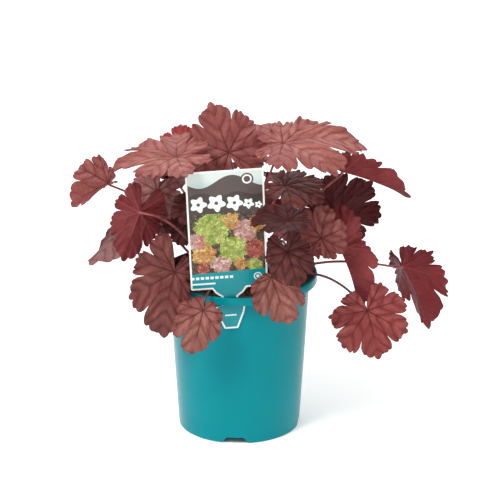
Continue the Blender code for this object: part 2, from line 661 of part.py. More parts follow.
def add_soil():
    """The potting mix: it fills the pot to below its rim and has a plain hole for the crown."""
    raised_top = BASE_RAISE + BASE_PLATE + GAP
    hole = CROWN_SIDE_RADIUS + GAP
    reach = wall_radius(SOIL_TOP) - POT_WALL - GAP - SOIL_FACET_PLAY
    floor_reach = wall_radius(raised_top) - POT_WALL - GAP - SOIL_FACET_PLAY
    profile = [
        (0, BASE_PLATE + GAP), (BASE_PAD_RADIUS - POT_WALL - GAP, BASE_PLATE + GAP),
        (BASE_PAD_RADIUS + BASE_SLOPE - POT_WALL - GAP, raised_top), (floor_reach, raised_top),
        (reach, SOIL_TOP),
    ]
    profile += [(radius, SOIL_TOP) for radius in reversed(SOIL_RINGS)]
    profile += [(hole, SOIL_TOP), (hole, SOIL_TOP - CROWN_DEPTH - GAP), (0, SOIL_TOP - CROWN_DEPTH - GAP)]
    bm = turned(profile, SOIL_SEGMENTS)
    for vert in bm.verts:
        if abs(vert.co.z - SOIL_TOP) < 0.1 * MM and vert.co.xy.length < reach - MM:
            vert.co.z = soil_height(vert.co.x, vert.co.y)
    return add_object("soil", bm, SOIL_COLOUR, 0.95)


def add_crown(roots):
    """The crown: a low dome with a hole for every stalk."""
    centre_z = CROWN_TOP - CROWN_DOME_RADIUS
    profile = [(0, SOIL_TOP - CROWN_DEPTH), (CROWN_SIDE_RADIUS, SOIL_TOP - CROWN_DEPTH)]
    edge = math.degrees(math.asin(CROWN_SIDE_RADIUS / CROWN_DOME_RADIUS))
    for index in range(CROWN_STEPS + 1):
        lean = math.radians(edge * (1 - index / CROWN_STEPS))
        profile.append((CROWN_DOME_RADIUS * math.sin(lean), centre_z + CROWN_DOME_RADIUS * math.cos(lean)))
    crown = add_object("crown", turned(profile, CROWN_SEGMENTS), CROWN_COLOUR, 0.85)
    cutter = bmesh.new()
    for root in roots:
        place = Matrix.Translation((0, 0, centre_z)) @ root.to_track_quat("Z", "Y").to_matrix().to_4x4()
        add_prism(cutter, regular_outline(ROOT_HOLE_SIDES, ROOT_HOLE_RADIUS),
                  CROWN_DOME_RADIUS - ROOT_DEPTH - GAP, CROWN_DOME_RADIUS + CUT_OVERRUN, place)
    cut(crown, add_object("crown_cutter", cutter))
    return crown


def label_outline():
    """Corners of the label from its top left, clockwise: panel, shoulder, neck and tail."""
    across, down = LABEL_SHOULDER_BEND
    right = [(LABEL_HALF_WIDTH, LABEL_TOP), (LABEL_HALF_WIDTH, LABEL_BOTTOM),
             (LABEL_NECK_HALF + LABEL_SHOULDER, LABEL_BOTTOM),
             (LABEL_NECK_HALF + LABEL_SHOULDER * across, LABEL_BOTTOM - LABEL_SHOULDER * down),
             (LABEL_NECK_HALF, LABEL_BOTTOM - LABEL_SHOULDER),
             (LABEL_NECK_HALF, LABEL_TAIL_TOP),
              (LABEL_TAIL_HALF, LABEL_TAIL_TOP - LABEL_TAIL_CHAMFER),
              (LABEL_TAIL_HALF - LABEL_TAIL_CHAMFER, LABEL_TAIL_TOP - LABEL_TAIL_SIDE),
              (LABEL_TAIL_END_HALF, LABEL_TAIL_END)]
    return right + [(-x, y) for x, y in reversed(right)]


def label_place():
    """Where the label stands: behind the rim's front, leaning out a little and set askew."""
    upright = Matrix.Rotation(math.radians(90 + LABEL_LEAN), 4, "X")
    askew = Matrix.Rotation(math.radians(LABEL_ROLL), 4, "Z")
    turn = Matrix.Rotation(math.radians(LABEL_TURN), 4, "Z")
    return Matrix.Translation((LABEL_AT_X, LABEL_AT_Y, POT_HEIGHT)) @ turn @ upright @ askew


def add_label():
    """The label: one flat sheet with slanted shoulders."""
    bm = bmesh.new()
    add_prism(bm, label_outline(), -LABEL_THICK / 2, LABEL_THICK / 2, label_place())
    return add_object("label", bm, LABEL_COLOUR, 0.3)


def tree_of(made):
    """An object's name and a tree of its faces as evaluated, for finding what crosses it."""
    bpy.context.view_layer.update()
    graph = bpy.context.evaluated_depsgraph_get()
    bm = bmesh.new()
    bm.from_object(made, graph)
    tree = BVHTree.FromBMesh(bm)
    bm.free()
    return made.name, tree


def add_leaf(row, root):
    """One leaf, blade and stalk together."""
    verts, faces = leaf_solid(row, root, blade_solid(row))
    bm = bmesh.new()
    made = [bm.verts.new(vert) for vert in verts]
    for face in faces:
        bm.faces.new([made[index] for index in face])
    return add_object(row["name"], bm, LEAF_COLOUR, 0.5, 60)


def build():
    """Make every object."""
    for old in list(bpy.data.objects):
        bpy.data.objects.remove(old, do_unlink=True)
    rows = FRONT_LEAVES + back_leaves()
    roots = root_directions(rows)
    pot = add_pot()
    soil = add_soil()
    label = add_label()
    settle(rows, roots, [tree_of(pot), tree_of(soil), tree_of(label)])
    add_crown(roots)
    for row, root in zip(rows, roots):
        add_leaf(row, root)
    return rows, roots


LEAVES, ROOTS = build()
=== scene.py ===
"""Heuchera plant in its nursery pot: fine leaves, pot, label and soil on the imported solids."""
import math
import random

import bmesh
import bpy
import numpy as np
from mathutils import Matrix, Vector
from mathutils.kdtree import KDTree


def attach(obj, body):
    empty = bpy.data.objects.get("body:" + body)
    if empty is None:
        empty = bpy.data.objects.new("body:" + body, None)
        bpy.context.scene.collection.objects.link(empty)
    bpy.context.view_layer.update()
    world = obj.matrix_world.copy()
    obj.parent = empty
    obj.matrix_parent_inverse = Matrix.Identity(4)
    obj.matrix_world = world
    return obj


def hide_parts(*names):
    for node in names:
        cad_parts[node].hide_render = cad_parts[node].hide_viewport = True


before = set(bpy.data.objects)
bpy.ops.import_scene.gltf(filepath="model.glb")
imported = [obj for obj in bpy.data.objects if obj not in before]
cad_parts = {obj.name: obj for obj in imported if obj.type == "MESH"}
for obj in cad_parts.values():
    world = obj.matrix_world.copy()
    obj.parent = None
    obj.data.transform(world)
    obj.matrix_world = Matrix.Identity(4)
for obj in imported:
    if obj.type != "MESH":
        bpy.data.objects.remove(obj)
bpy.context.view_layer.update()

MM = 0.001
GAP = 0.3 * MM
CUT_OVERRUN = 2 * MM

# Pot: a 140 mm round nursery pot with a turned-down rim
POT_HEIGHT = 144 * MM
RIM_RADIUS = 70 * MM
RIM_SKIRT = 7 * MM
WALL_TOP_RADIUS = 63.7 * MM
WALL_FOOT_RADIUS = 54.9 * MM
POT_WALL = 1.2 * MM
BASE_PAD_RADIUS = 30 * MM
BASE_RAISE = 6 * MM
BASE_PLATE = 1.5 * MM
BASE_SLOPE = 2 * MM
FOOT_NOTCHES = 4
FOOT_NOTCH_TURN = -93.8
FOOT_NOTCH_WIDE = 25.6 * MM
FOOT_NOTCH_NARROW = 14.6 * MM
FOOT_NOTCH_ROOF = 0.4 * MM
FOOT_NOTCH_CUT = 4 * MM
DRAIN_HOLES = 8
DRAIN_RING_RADIUS = 42 * MM
DRAIN_RADIUS = 4 * MM

# Potting mix
SOIL_TOP = 125 * MM
SOIL_UNEVEN = 1.6 * MM
SOIL_WAVES = (150, 170, 310)

# Crown: the low woody dome that the leaves grow from
CROWN_DOME_RADIUS = 30 * MM
CROWN_TOP = 136 * MM
CROWN_SIDE_RADIUS = 23.6 * MM
CROWN_DEPTH = 12 * MM
CROWN_MAX_LEAN = 47
ROOT_LEAN_SHARE = 0.62
ROOT_SPACING = 5.8 * MM
ROOT_DEPTH = 5 * MM
SPACING_PASSES = 80

# Label: one flat plastic piece, panel, neck and tail
LABEL_THICK = 0.6 * MM
LABEL_HALF_WIDTH = 33.5 * MM
LABEL_TOP = 118 * MM
LABEL_BOTTOM = 8.6 * MM
LABEL_NECK_HALF = 7 * MM
LABEL_SHOULDER = 8 * MM
LABEL_SHOULDER_BEND = (0.62, 0.56)
LABEL_TAIL_HALF = 13 * MM
LABEL_TAIL_END_HALF = 6 * MM
LABEL_TAIL_TOP = -7.8 * MM
LABEL_TAIL_CHAMFER = MM
LABEL_TAIL_SIDE = 7 * MM
LABEL_TAIL_END = -30 * MM
LABEL_AT_X = -8 * MM
LABEL_AT_Y = -65.4 * MM
LABEL_ROLL = 2.6
LABEL_LEAN = 3.5
LABEL_TURN = 4.5
LABEL_SLOT_HALF = 8 * MM
LABEL_SLOT_PLAY = 1.3 * MM

# Leaves
BLADE_THICK = 0.8 * MM
STALK_TOP_RADIUS = 1.1 * MM
STALK_FOOT_RADIUS = 1.5 * MM
STALK_RINGS = 5
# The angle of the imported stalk's first corner
STALK_CORNER = -144
NECK_DROP = 2.2 * MM
NECK_RUN = 0.6 * MM
LOBE_CENTRES = (-141, -95, -48, 0, 48, 95, 141)
LOBE_ENDS = (-166, -118, -71, -25, 25, 71, 118, 166)
EVEN_LOBES = (1, 1, 1, 1, 1, 1, 1)
TOOTH_ENDS = (-1, -0.34, 0.34, 1)
LOBE_STEPS = (-1, -0.67, -0.34, 0, 0.34, 0.67)
LOBE_ROUNDNESS = 3.3
TOOTH_DEPTH = 0.05
SINUS_RADIUS = 3 * MM
SIGHT = Vector((0, 0.944, -0.329))
UPRIGHT = Vector((0, 0, 1))
FOLD_POWER = 1.3
PLEAT_RISE = 0.06
PLEAT_POWER = 1.5
RIPPLE_RISE = 0.035
LEAST_BEND = 0.01
# Steps between the points that a blade's normal is read from
NORMAL_SHARE = 0.02
NORMAL_ANGLE = 2
DOME_LIP = 2 * MM
ARRIVING_HAND = 0.3
ARRIVING_FACE = 0.8
ARRIVING_TIP = 0.6
LEAST_ARRIVAL = 0.25

# How a leaf may give way to its neighbours: along its line in mm, sideways in mm, and in
# how steeply its stalk rises
BEND_SHIFTS = (0, 3, -3, 6, -6, 9, -9, 12, -12, 16, -16, 20, -20, 25, -25, 30, -30)
BEND_BOWS = (0, 8, -8, 16, -16, 26, -26, 38, -38)
BEND_RISES = (0, 0.16, -0.14)


def leaf(name, at, tip, face, reach, back=0.66, slim=1, cup=8, fold=0, droop=18, curl=12,
         base=20, lean=0, notch=0.3, lobes=EVEN_LOBES, stalk=None, rise=0.42, slide=SIGHT,
         seed=1):
    """One leaf: its junction and reach in mm, its two directions, and its bends in degrees.

    tip runs from the junction to the end lobe and face is the way its upper side looks. back
    and slim are the reach of the back lobes and of the sides against that of the tip. cup and
    fold lift the blade at the junction, all round and at the sides. droop, curl and base then
    bend it down over its reach: all round, towards the tip and at the back lobes. lean bends
    one side alone down: that of the positive angles where it is positive. notch is how deep
    the cuts between the lobes go, against their length, and lobes lengthens or shortens each
    lobe in order of angle. stalk is the way its stalk arrives, rise how steeply it leaves the
    crown, and slide the line along which the leaf may give way.
    """
    return {"name": name, "at": Vector(at) * MM, "tip": Vector(tip).normalized(),
            "face": Vector(face).normalized(), "reach": reach * MM, "back": back, "slim": slim,
            "cup": cup, "fold": fold, "droop": droop, "curl": curl, "base": base,
            "lean": lean, "notch": notch, "lobes": lobes, "stalk": stalk, "rise": rise,
            "slide": slide, "seed": seed, "bow": 0.0}


# The leaves that the front shows, from the top of the plant down
FRONT_LEAVES = [
    leaf("leaf_top", (-9, -10, 258), (-0.36, 0.25, 0.9), (0, -0.9, 0.4), 48,
         cup=10, base=38, notch=0.25, lobes=(1, 1.02, 0.88, 0.97, 0.8, 0.87, 1), seed=1),
    leaf("leaf_upper_right", (38, -25, 271), (0.97, -0.05, 0.14), (0, -0.22, 0.97), 74,
         back=0.36, cup=12, droop=34, curl=14, notch=0.34, lobes=(0.9, 0.7, 0.64, 1, 1, 1, 1),
         seed=3),
    leaf("leaf_upper_left", (-54, -34, 261), (-0.98, -0.1, -0.05), (-0.05, -0.12, 0.98), 60,
         back=0.55, cup=8, droop=22, base=-10, notch=0.42, lobes=(1, 1, 0.8, 1, 0.95, 1.1, 1),
         seed=2),
    leaf("leaf_top_left_back", (-50, 30, 245), (-0.1, 0.1, 1), (0, 0.9, 0.3), 27,
         cup=14, stalk=(0.1, 0.4, 0.9), seed=4),
    leaf("leaf_top_right_back", (28, 45, 256), (0.6, 0.5, 0.1), (-0.1, -0.2, 0.97), 36,
         cup=6, slide=UPRIGHT, seed=5),
    leaf("leaf_far_left", (-115, -10, 230), (-0.93, -0.1, -0.38), (0, -0.46, 0.89), 39,
         back=0.22, slim=0.95, cup=0, fold=44, droop=10, lobes=(1, 1, 1, 1, 0.92, 1.25, 1),
         seed=6),
    leaf("leaf_right_folded", (92, 15, 233), (0.93, -0.05, -0.22), (0.15, 0.42, 0.9), 64,
         back=0.35, slim=0.5, cup=0, fold=58, droop=8, lobes=(1, 1, 0.62, 1, 0.62, 1, 1),
         seed=7),
    leaf("leaf_right_dark", (86, 30, 187), (0.6, 0, 0.6), (0.1, 0.9, 0.35), 46,
         cup=10, stalk=(0.7, 0.3, 0.6), seed=8),
    leaf("leaf_right_middle", (40, -30, 234), (0.8, -0.45, -0.15), (0, -0.25, 0.96), 38,
         back=0.5, cup=8, seed=9),
    leaf("leaf_over_label", (42, -96, 224), (-0.95, -0.2, 0.0), (0, -0.12, 0.98), 34,
         back=0.6, cup=14, droop=20, seed=10),
    leaf("leaf_right_inner", (72, -30, 186), (0.1, -0.2, 0.95), (-0.35, -0.85, 0.3), 32,
         cup=10, seed=11),
    leaf("leaf_right_hanging", (88, -25, 177), (0.42, -0.2, -0.9), (0.85, 0.5, 0.1), 60,
         back=0.7, slim=0.5, cup=4, fold=58, droop=10, lobes=(0.95, 0.95, 0.7, 1, 0.7, 0.95, 1),
         stalk=(0.95, 0.1, -0.25), seed=12),
    leaf("leaf_low_right", (113, -32, 119), (0.24, -0.25, -0.95), (0, -0.93, 0.35), 42,
         cup=14, droop=14, lobes=(0.92, 1, 1, 1.03, 1, 1, 0.82), stalk=(0.62, -0.25, -0.74),
         rise=0.6, seed=13),
    leaf("leaf_low_far_right", (147, 10, 145), (0.47, 0, -0.9), (0.55, 0.75, 0.35), 62,
         back=0.5, slim=0.7, cup=8, fold=24, lobes=(0.62, 0.95, 0.9, 1, 0.9, 0.95, 0.7),
         stalk=(0.93, 0.15, -0.2), rise=0.4, seed=14),
    leaf("leaf_front_right_upper", (41, -86, 193), (0.3, -0.15, -0.93), (-0.05, -0.95, 0.3), 32,
         slim=0.75, cup=12, stalk=(0.1, -0.95, -0.2), rise=0.5, seed=15),
    leaf("leaf_front_right", (28, -79, 167), (0.34, -0.1, -0.94), (-0.1, -0.97, 0.15), 45,
         back=0.22, slim=0.85, cup=8, fold=26, droop=12, lobes=(1, 0.9, 0.92, 1, 0.86, 0.95, 0.6),
         stalk=(0.2, -0.55, -0.8), rise=0.6, seed=16),
    leaf("leaf_front_left", (-56, -60, 165), (-0.2, -0.12, -0.96), (-0.2, -0.95, 0.2), 64,
         back=0.6, slim=0.8, cup=10, droop=20, lean=-50,
         lobes=(0.5, 0.36, 0.44, 1, 0.87, 0.9, 0.92), stalk=(-0.4, -0.6, -0.65), rise=0.55,
         seed=17),
    leaf("leaf_low_front_left", (-31, -82, 138), (-0.24, -0.12, -0.95), (0, -0.98, 0.15), 41,
         back=0.45, slim=0.78, cup=16, droop=16, lean=-20,
         lobes=(0.65, 0.78, 0.78, 1, 0.95, 1, 0.75), stalk=(-0.1, -0.3, -0.95), rise=0.7,
         seed=18),
    leaf("leaf_left", (-87, -30, 210), (-0.32, -0.1, -0.9), (0.1, 0.9, 0.35), 46,
         back=0.62, slim=0.66, cup=8, fold=14, lobes=(1, 1, 0.8, 1, 0.8, 1, 1),
         stalk=(-0.95, 0.15, 0.0), seed=19),
    leaf("leaf_left_folded", (-99, -2, 206), (-0.42, 0, -0.9), (0.8, -0.5, 0.3), 68,
         back=0.4, slim=0.38, cup=4, fold=25, seed=20),
    leaf("leaf_left_inner", (-72, -20, 226), (-0.4, -0.4, -0.8), (0, -0.8, 0.6), 29,
         cup=8, seed=21),
    leaf("leaf_left_inner_back", (-70, 20, 202), (-0.5, 0.1, 0.6), (0.1, 0.9, 0.3), 24,
         cup=8, stalk=(-0.7, 0.3, 0.5), seed=22),
    leaf("leaf_behind_label_upper", (-37, -50, 222), (-0.95, -0.1, -0.2), (0, -0.5, 0.85), 24,
         cup=8, seed=23),
    leaf("leaf_behind_label_lower", (-44, -38, 208), (-0.4, -0.35, -0.8), (-0.1, -0.85, 0.5), 27,
         cup=8, seed=24),
    leaf("leaf_left_shaded", (-60, 10, 202), (-0.5, -0.3, -0.8), (0, -0.85, 0.5), 27,
         cup=8, seed=25),
]

# The leaves behind, in tiers: count, first and last bearing, junction radius and height,
# step between neighbours, reach, and how far the tips point down
BACK_TIERS = (
    ("leaf_back_low", 4, 56, 124, 94, 160, 15, 46, 42),
    ("leaf_back_middle", 5, 46, 143, 84, 196, 14, 38, 26),
    ("leaf_back_top", 3, 78, 124, 66, 230, -6, 32, 10),
)
BACK_SEED = 5
BACK_JITTER = 4
BACK_FACE_TILT = 30
BACK_BASE = 0.54
BACK_CUP = 8
BACK_DROOP = 24


def back_leaves():
    """The leaves of the back, spread evenly in tiers and set a little out of line."""
    draw = random.Random(BACK_SEED)
    rows = []
    for label, count, first, last, radius, height, step, reach, down in BACK_TIERS:
        for index in range(count):
            off = [draw.uniform(-1, 1) * BACK_JITTER for _ in range(4)]
            bearing = math.radians(first + (last - first) * index / (count - 1) + off[0])
            out = Vector((math.cos(bearing), math.sin(bearing), 0))
            dip = math.radians(down + off[1])
            tip = out * math.cos(dip) - UPRIGHT * math.sin(dip)
            face = out * math.sin(math.radians(BACK_FACE_TILT)) + UPRIGHT
            at = out * (radius + off[2]) + UPRIGHT * (height + step * (index % 2))
            rows.append(leaf(f"{label}_{index + 1}", at, tip, face, reach + off[3], back=BACK_BASE,
                             cup=BACK_CUP, droop=BACK_DROOP, slide=UPRIGHT,
                             seed=BACK_SEED + len(rows)))
    return rows


def axes_of(row):
    """The leaf's side, tip and face directions as the columns of a matrix."""
    tip = row["tip"]
    face = (row["face"] - tip * row["face"].dot(tip)).normalized()
    side = tip.cross(face)
    return Matrix((side, tip, face)).transposed()


def lobe_place(angle):
    """Where an angle lies across its lobe: 0 on the lobe's vein, -1 and 1 at its notches."""
    for start, middle, end in zip(LOBE_ENDS, LOBE_CENTRES, LOBE_ENDS[1:]):
        if start <= angle <= end:
            return (angle - middle) / (middle - start if angle < middle else end - middle)
    return 1.0


def tooth_place(place):
    """Where a place across a lobe lies across its tooth: 0 at the point, 1 at the dips."""
    for start, end in zip(TOOTH_ENDS, TOOTH_ENDS[1:]):
        if start <= place <= end:
            return abs(2 * place - start - end) / (end - start)
    return 1.0


def lobe_length(row, angle):
    """How far the lobes at an angle are lengthened, blended from each lobe to the next."""
    lobes = row["lobes"]
    for index, (start, end) in enumerate(zip(LOBE_CENTRES, LOBE_CENTRES[1:])):
        if start <= angle <= end:
            share = (angle - start) / (end - start)
            return lobes[index] * (1 - share) + lobes[index + 1] * share
    return lobes[0] if angle < 0 else lobes[-1]


def margin_radius(row, angle):
    """Distance from the junction to the blade's edge, at an angle from the tip in degrees."""
    away = abs(angle)
    last = LOBE_ENDS[-1]
    held = math.radians(min(away, last))
    full = row["reach"] * ((1 + row["back"]) / 2 + (1 - row["back"]) / 2 * math.cos(held))
    full *= (1 - (1 - row["slim"]) * math.sin(held) ** 2) * lobe_length(row, angle)
    place = lobe_place(angle)
    radius = full * (1 - row["notch"] * abs(place) ** LOBE_ROUNDNESS)
    radius *= 1 - TOOTH_DEPTH * tooth_place(place) ** 2
    if away <= last:
        return radius
    turn = math.radians(away - last)
    rest = math.radians(180 - away)
    return (radius * SINUS_RADIUS * math.sin(turn + rest)
            / (radius * math.sin(turn) + SINUS_RADIUS * math.sin(rest)))


def bent(row, radians, arc, place):
    """How far out and up the blade's bends carry it, an arc's length from the junction."""
    forward, side = np.cos(radians), np.sin(radians)
    climb = np.radians(row["cup"] + row["fold"] * np.abs(side) ** FOLD_POWER)
    bend = row["droop"] + row["curl"] * np.maximum(0, forward) ** 2
    bend = bend + row["base"] * np.maximum(0, -forward) ** 2 + np.maximum(0, row["lean"] * side)
    bend = np.radians(bend) / row["reach"]
    bend = np.where(np.abs(bend) < LEAST_BEND, LEAST_BEND, bend)
    out = (np.sin(climb) - np.sin(climb - bend * arc)) / bend
    up = (np.cos(climb - bend * arc) - np.cos(climb)) / bend
    up = up + PLEAT_RISE * arc * np.abs(place) ** PLEAT_POWER
    ripple = np.sin(3 * radians + row["seed"]) + 0.6 * np.sin(5 * radians + 2.1 * row["seed"])
    return out, up + RIPPLE_RISE * row["reach"] * (arc / row["reach"]) ** 2 * ripple


def blade_point(row, angle, share):
    """A point of the blade's middle surface, in the leaf's own axes."""
    radians = math.radians(angle)
    out, up = bent(row, radians, share * margin_radius(row, angle), lobe_place(angle))
    return Vector((out * math.sin(radians), out * math.cos(radians), up))


def blade_normal(row, angle, share):
    """The upper side's direction at a point of the blade, in the leaf's own axes."""
    along = (blade_point(row, angle, share + NORMAL_SHARE)
             - blade_point(row, angle, share - NORMAL_SHARE))
    low, high = max(angle - NORMAL_ANGLE, -180), min(angle + NORMAL_ANGLE, 180)
    across = blade_point(row, high, share) - blade_point(row, low, share)
    normal = across.cross(along)
    return normal.normalized() if normal.length > 0 else UPRIGHT


def edge_angles():
    """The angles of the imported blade's edge points."""
    edge = []
    for start, middle, end in zip(LOBE_ENDS, LOBE_CENTRES, LOBE_ENDS[1:]):
        for step in LOBE_STEPS:
            edge.append(middle + step * (middle - start if step < 0 else end - middle))
    return edge + [LOBE_ENDS[-1], 180]


def bezier(start, start_hand, end_hand, end, share):
    """A point of a cubic curve."""
    rest = 1 - share
    return (start * rest ** 3 + start_hand * 3 * rest ** 2 * share
            + end_hand * 3 * rest * share ** 2 + end * share ** 3)


def stalk_path(row, root):
    """The stalk's middle line, from under the blade down to its foot in the crown."""
    axes = axes_of(row)
    face, tip = axes.col[2], axes.col[1]
    arrive = face * ARRIVING_FACE + tip * ARRIVING_TIP
    if row["stalk"]:
        arrive = Vector(row["stalk"]).normalized()
    arrive = (arrive + face * max(0, LEAST_ARRIVAL - arrive.dot(face))).normalized()
    dome_centre = Vector((0, 0, CROWN_TOP - CROWN_DOME_RADIUS))
    foot = dome_centre + root * (CROWN_DOME_RADIUS - ROOT_DEPTH)
    mouth = dome_centre + root * (CROWN_DOME_RADIUS + DOME_LIP)
    top = row["at"] - face * NECK_DROP - arrive * NECK_RUN
    length = (top - mouth).length
    across = (top - mouth).cross(UPRIGHT).normalized()
    lower = mouth + root * length * row["rise"] + across * row["bow"]
    upper = top - arrive * length * ARRIVING_HAND
    points = [bezier(top, upper, lower, mouth, index / (STALK_RINGS + 1))
              for index in range(STALK_RINGS + 2)]
    return points + [foot]


def root_directions(rows):
    """Where each stalk stands on the crown's dome, spread so that no two holes meet."""
    dome_centre = Vector((0, 0, CROWN_TOP - CROWN_DOME_RADIUS))
    roots = []
    for row in rows:
        out = row["at"] - dome_centre
        lean = min(math.degrees(math.atan2(out.xy.length, out.z)) * ROOT_LEAN_SHARE,
                   CROWN_MAX_LEAN)
        bearing = math.atan2(out.y, out.x)
        flat = math.sin(math.radians(lean))
        roots.append(Vector((flat * math.cos(bearing), flat * math.sin(bearing),
                             math.cos(math.radians(lean)))))
    apart = ROOT_SPACING / CROWN_DOME_RADIUS
    lowest = math.cos(math.radians(CROWN_MAX_LEAN))
    for _ in range(SPACING_PASSES):
        for first in range(len(roots)):
            for second in range(first):
                between = roots[first] - roots[second]
                if between.length < apart:
                    push = between.normalized() * (apart - between.length) * 0.5
                    roots[first] = (roots[first] + push).normalized()
                    roots[second] = (roots[second] - push).normalized()
        for index, root in enumerate(roots):
            if root.z < lowest:
                flat = Vector((root.x, root.y, 0)).normalized() * math.sqrt(1 - lowest ** 2)
                roots[index] = Vector((flat.x, flat.y, lowest))
    return roots


def wall_radius(height):
    """Outer radius of the pot's tapered wall."""
    return WALL_FOOT_RADIUS + (WALL_TOP_RADIUS - WALL_FOOT_RADIUS) * height / POT_HEIGHT


def bridged(lower, upper):
    """Four-sided faces between two closed rings of as many corners."""
    return list(zip(lower, lower[1:] + lower[:1], upper[1:] + upper[:1], upper))


def add_prism(bm, outline, low, high, place):
    """Add a straight prism with a flat outline of (x, y) points between two heights."""
    bottom = [bm.verts.new(place @ Vector((x, y, low))) for x, y in outline]
    top = [bm.verts.new(place @ Vector((x, y, high))) for x, y in outline]
    for face in [bottom[::-1], top] + bridged(bottom, top):
        bm.faces.new(face)


def regular_outline(sides, radius):
    """Corners of a regular polygon."""
    turns = [2 * math.pi * index / sides for index in range(sides)]
    return [(radius * math.cos(turn), radius * math.sin(turn)) for turn in turns]


def soil_height(x, y):
    """Height of the potting mix's uneven top."""
    long_wave, cross_wave, short_wave = SOIL_WAVES
    swell = math.sin(long_wave * x + 1) * math.cos(cross_wave * y)
    swell += 0.5 * math.sin(short_wave * y + 2)
    return SOIL_TOP + SOIL_UNEVEN * swell / 1.5


def label_outline():
    """Corners of the label from its top left, clockwise: panel, shoulder, neck and tail."""
    across, down = LABEL_SHOULDER_BEND
    right = [(LABEL_HALF_WIDTH, LABEL_TOP), (LABEL_HALF_WIDTH, LABEL_BOTTOM),
             (LABEL_NECK_HALF + LABEL_SHOULDER, LABEL_BOTTOM),
             (LABEL_NECK_HALF + LABEL_SHOULDER * across, LABEL_BOTTOM - LABEL_SHOULDER * down),
             (LABEL_NECK_HALF, LABEL_BOTTOM - LABEL_SHOULDER),
             (LABEL_NECK_HALF, LABEL_TAIL_TOP),
             (LABEL_TAIL_HALF, LABEL_TAIL_TOP - LABEL_TAIL_CHAMFER),
             (LABEL_TAIL_HALF - LABEL_TAIL_CHAMFER, LABEL_TAIL_TOP - LABEL_TAIL_SIDE),
             (LABEL_TAIL_END_HALF, LABEL_TAIL_END)]
    return right + [(-x, y) for x, y in reversed(right)]


def label_place():
    """Where the label stands: behind the rim's front, leaning out a little and set askew."""
    upright = Matrix.Rotation(math.radians(90 + LABEL_LEAN), 4, "X")
    askew = Matrix.Rotation(math.radians(LABEL_ROLL), 4, "Z")
    turn = Matrix.Rotation(math.radians(LABEL_TURN), 4, "Z")
    return Matrix.Translation((LABEL_AT_X, LABEL_AT_Y, POT_HEIGHT)) @ turn @ upright @ askew


# Fine leaves
SCALLOPS = 5
SCALLOP_DEPTH = 0.055
SCALLOP_STEPS = 7
SINUS_STEPS = 7
RING_SHARES = (0.03, 0.09, 0.17, 0.27, 0.38, 0.5, 0.62, 0.74, 0.85, 0.93, 0.98, 1.0)
FINE_THICK = 0.5 * MM
VEIN_GROOVE = 0.5 * MM
VEIN_WIDTH = 1.5 * MM
SIDE_VEIN_STEP = 12.5 * MM
# How side veins leave the main one: forward run over sideways run, and its gain per metre
VEIN_LEAN = 0.95
VEIN_BOW = 0.024 / MM
# Relief between the side veins, full from this far off the main vein
QUILT_RISE = 0.42 * MM
QUILT_START = 7 * MM
# Waves of the margin against the leaf's reach, where the margin is far enough out
FRILL_RISE = 0.013
SWAY_RISE = 0.02
LEAST_WAVY_EDGE = 8 * MM
STALK_FINE_SIDES = 10
STALK_FINE_RINGS = 26
STALK_SLIM = 0.86
STALK_RIB = 0.06
NECK_SWELL = 0.7 * MM
FOOT_SWELL = 0.5 * MM
CURVE_STEPS = 12
FIND_RADIUS = 0.02 * MM

# Fine pot: rounded edges, and how far the outer colour reaches over the top of the rim
POT_FINE_SEGMENTS = 192
POT_FILLET = 0.55 * MM
POT_LIP = 2.2 * MM
FILLET_STEPS = 3
DRAIN_FINE_SIDES = 28
RIM_SKIN = 2.2 * MM

# Fine potting mix and crown
SOIL_FINE_SEGMENTS = 130
SOIL_FINE_RINGS = 26
SOIL_PLAY = 0.2 * MM
SOIL_SEED = 11
CHIPS = 420
CROWN_FINE_SEGMENTS = 72
CROWN_FINE_RINGS = 22
CROWN_SEED = 7
SCALES = 260
SCALE_CLEAR = 2.4 * MM
SCALE_SUNK = 1.2 * MM
# How far along a scale each row of points is, and its half width, against the scale's length
SCALE_ROWS = ((0, 0.3), (0.3, 0.46), (0.65, 0.36), (0.9, 0.14), (1.0, 0.0))

# Fine label and floor
LABEL_CORNER = 1.2 * MM
PRINT_CORNER = 0.5 * MM
LABEL_BORDER = 1.5 * MM
LEAST_BORDER = 0.1 * MM
FLOOR_GLOW = 0.3


def srgb(red, green, blue):
    """A linear colour from an 8-bit screen colour."""
    def line(value):
        value /= 255
        return value / 12.92 if value <= 0.04045 else ((value + 0.055) / 1.055) ** 2.4
    return (line(red), line(green), line(blue), 1)


class Value:
    """What a node gives, to reckon with as with a number."""

    def __init__(self, made, socket):
        self.made = made
        self.socket = socket

    def beside(self, output):
        """Another output of the same node."""
        return Value(self.made, self.socket.node.outputs[output])

    def __add__(self, other):
        return self.made.math("ADD", self, other)

    def __sub__(self, other):
        return self.made.math("SUBTRACT", self, other)

    def __rsub__(self, other):
        return self.made.math("SUBTRACT", other, self)

    def __mul__(self, other):
        return self.made.math("MULTIPLY", self, other)

    def __truediv__(self, other):
        return self.made.math("DIVIDE", self, other)

    def __lt__(self, other):
        return self.made.math("LESS_THAN", self, other)

    def __gt__(self, other):
        return self.made.math("GREATER_THAN", self, other)


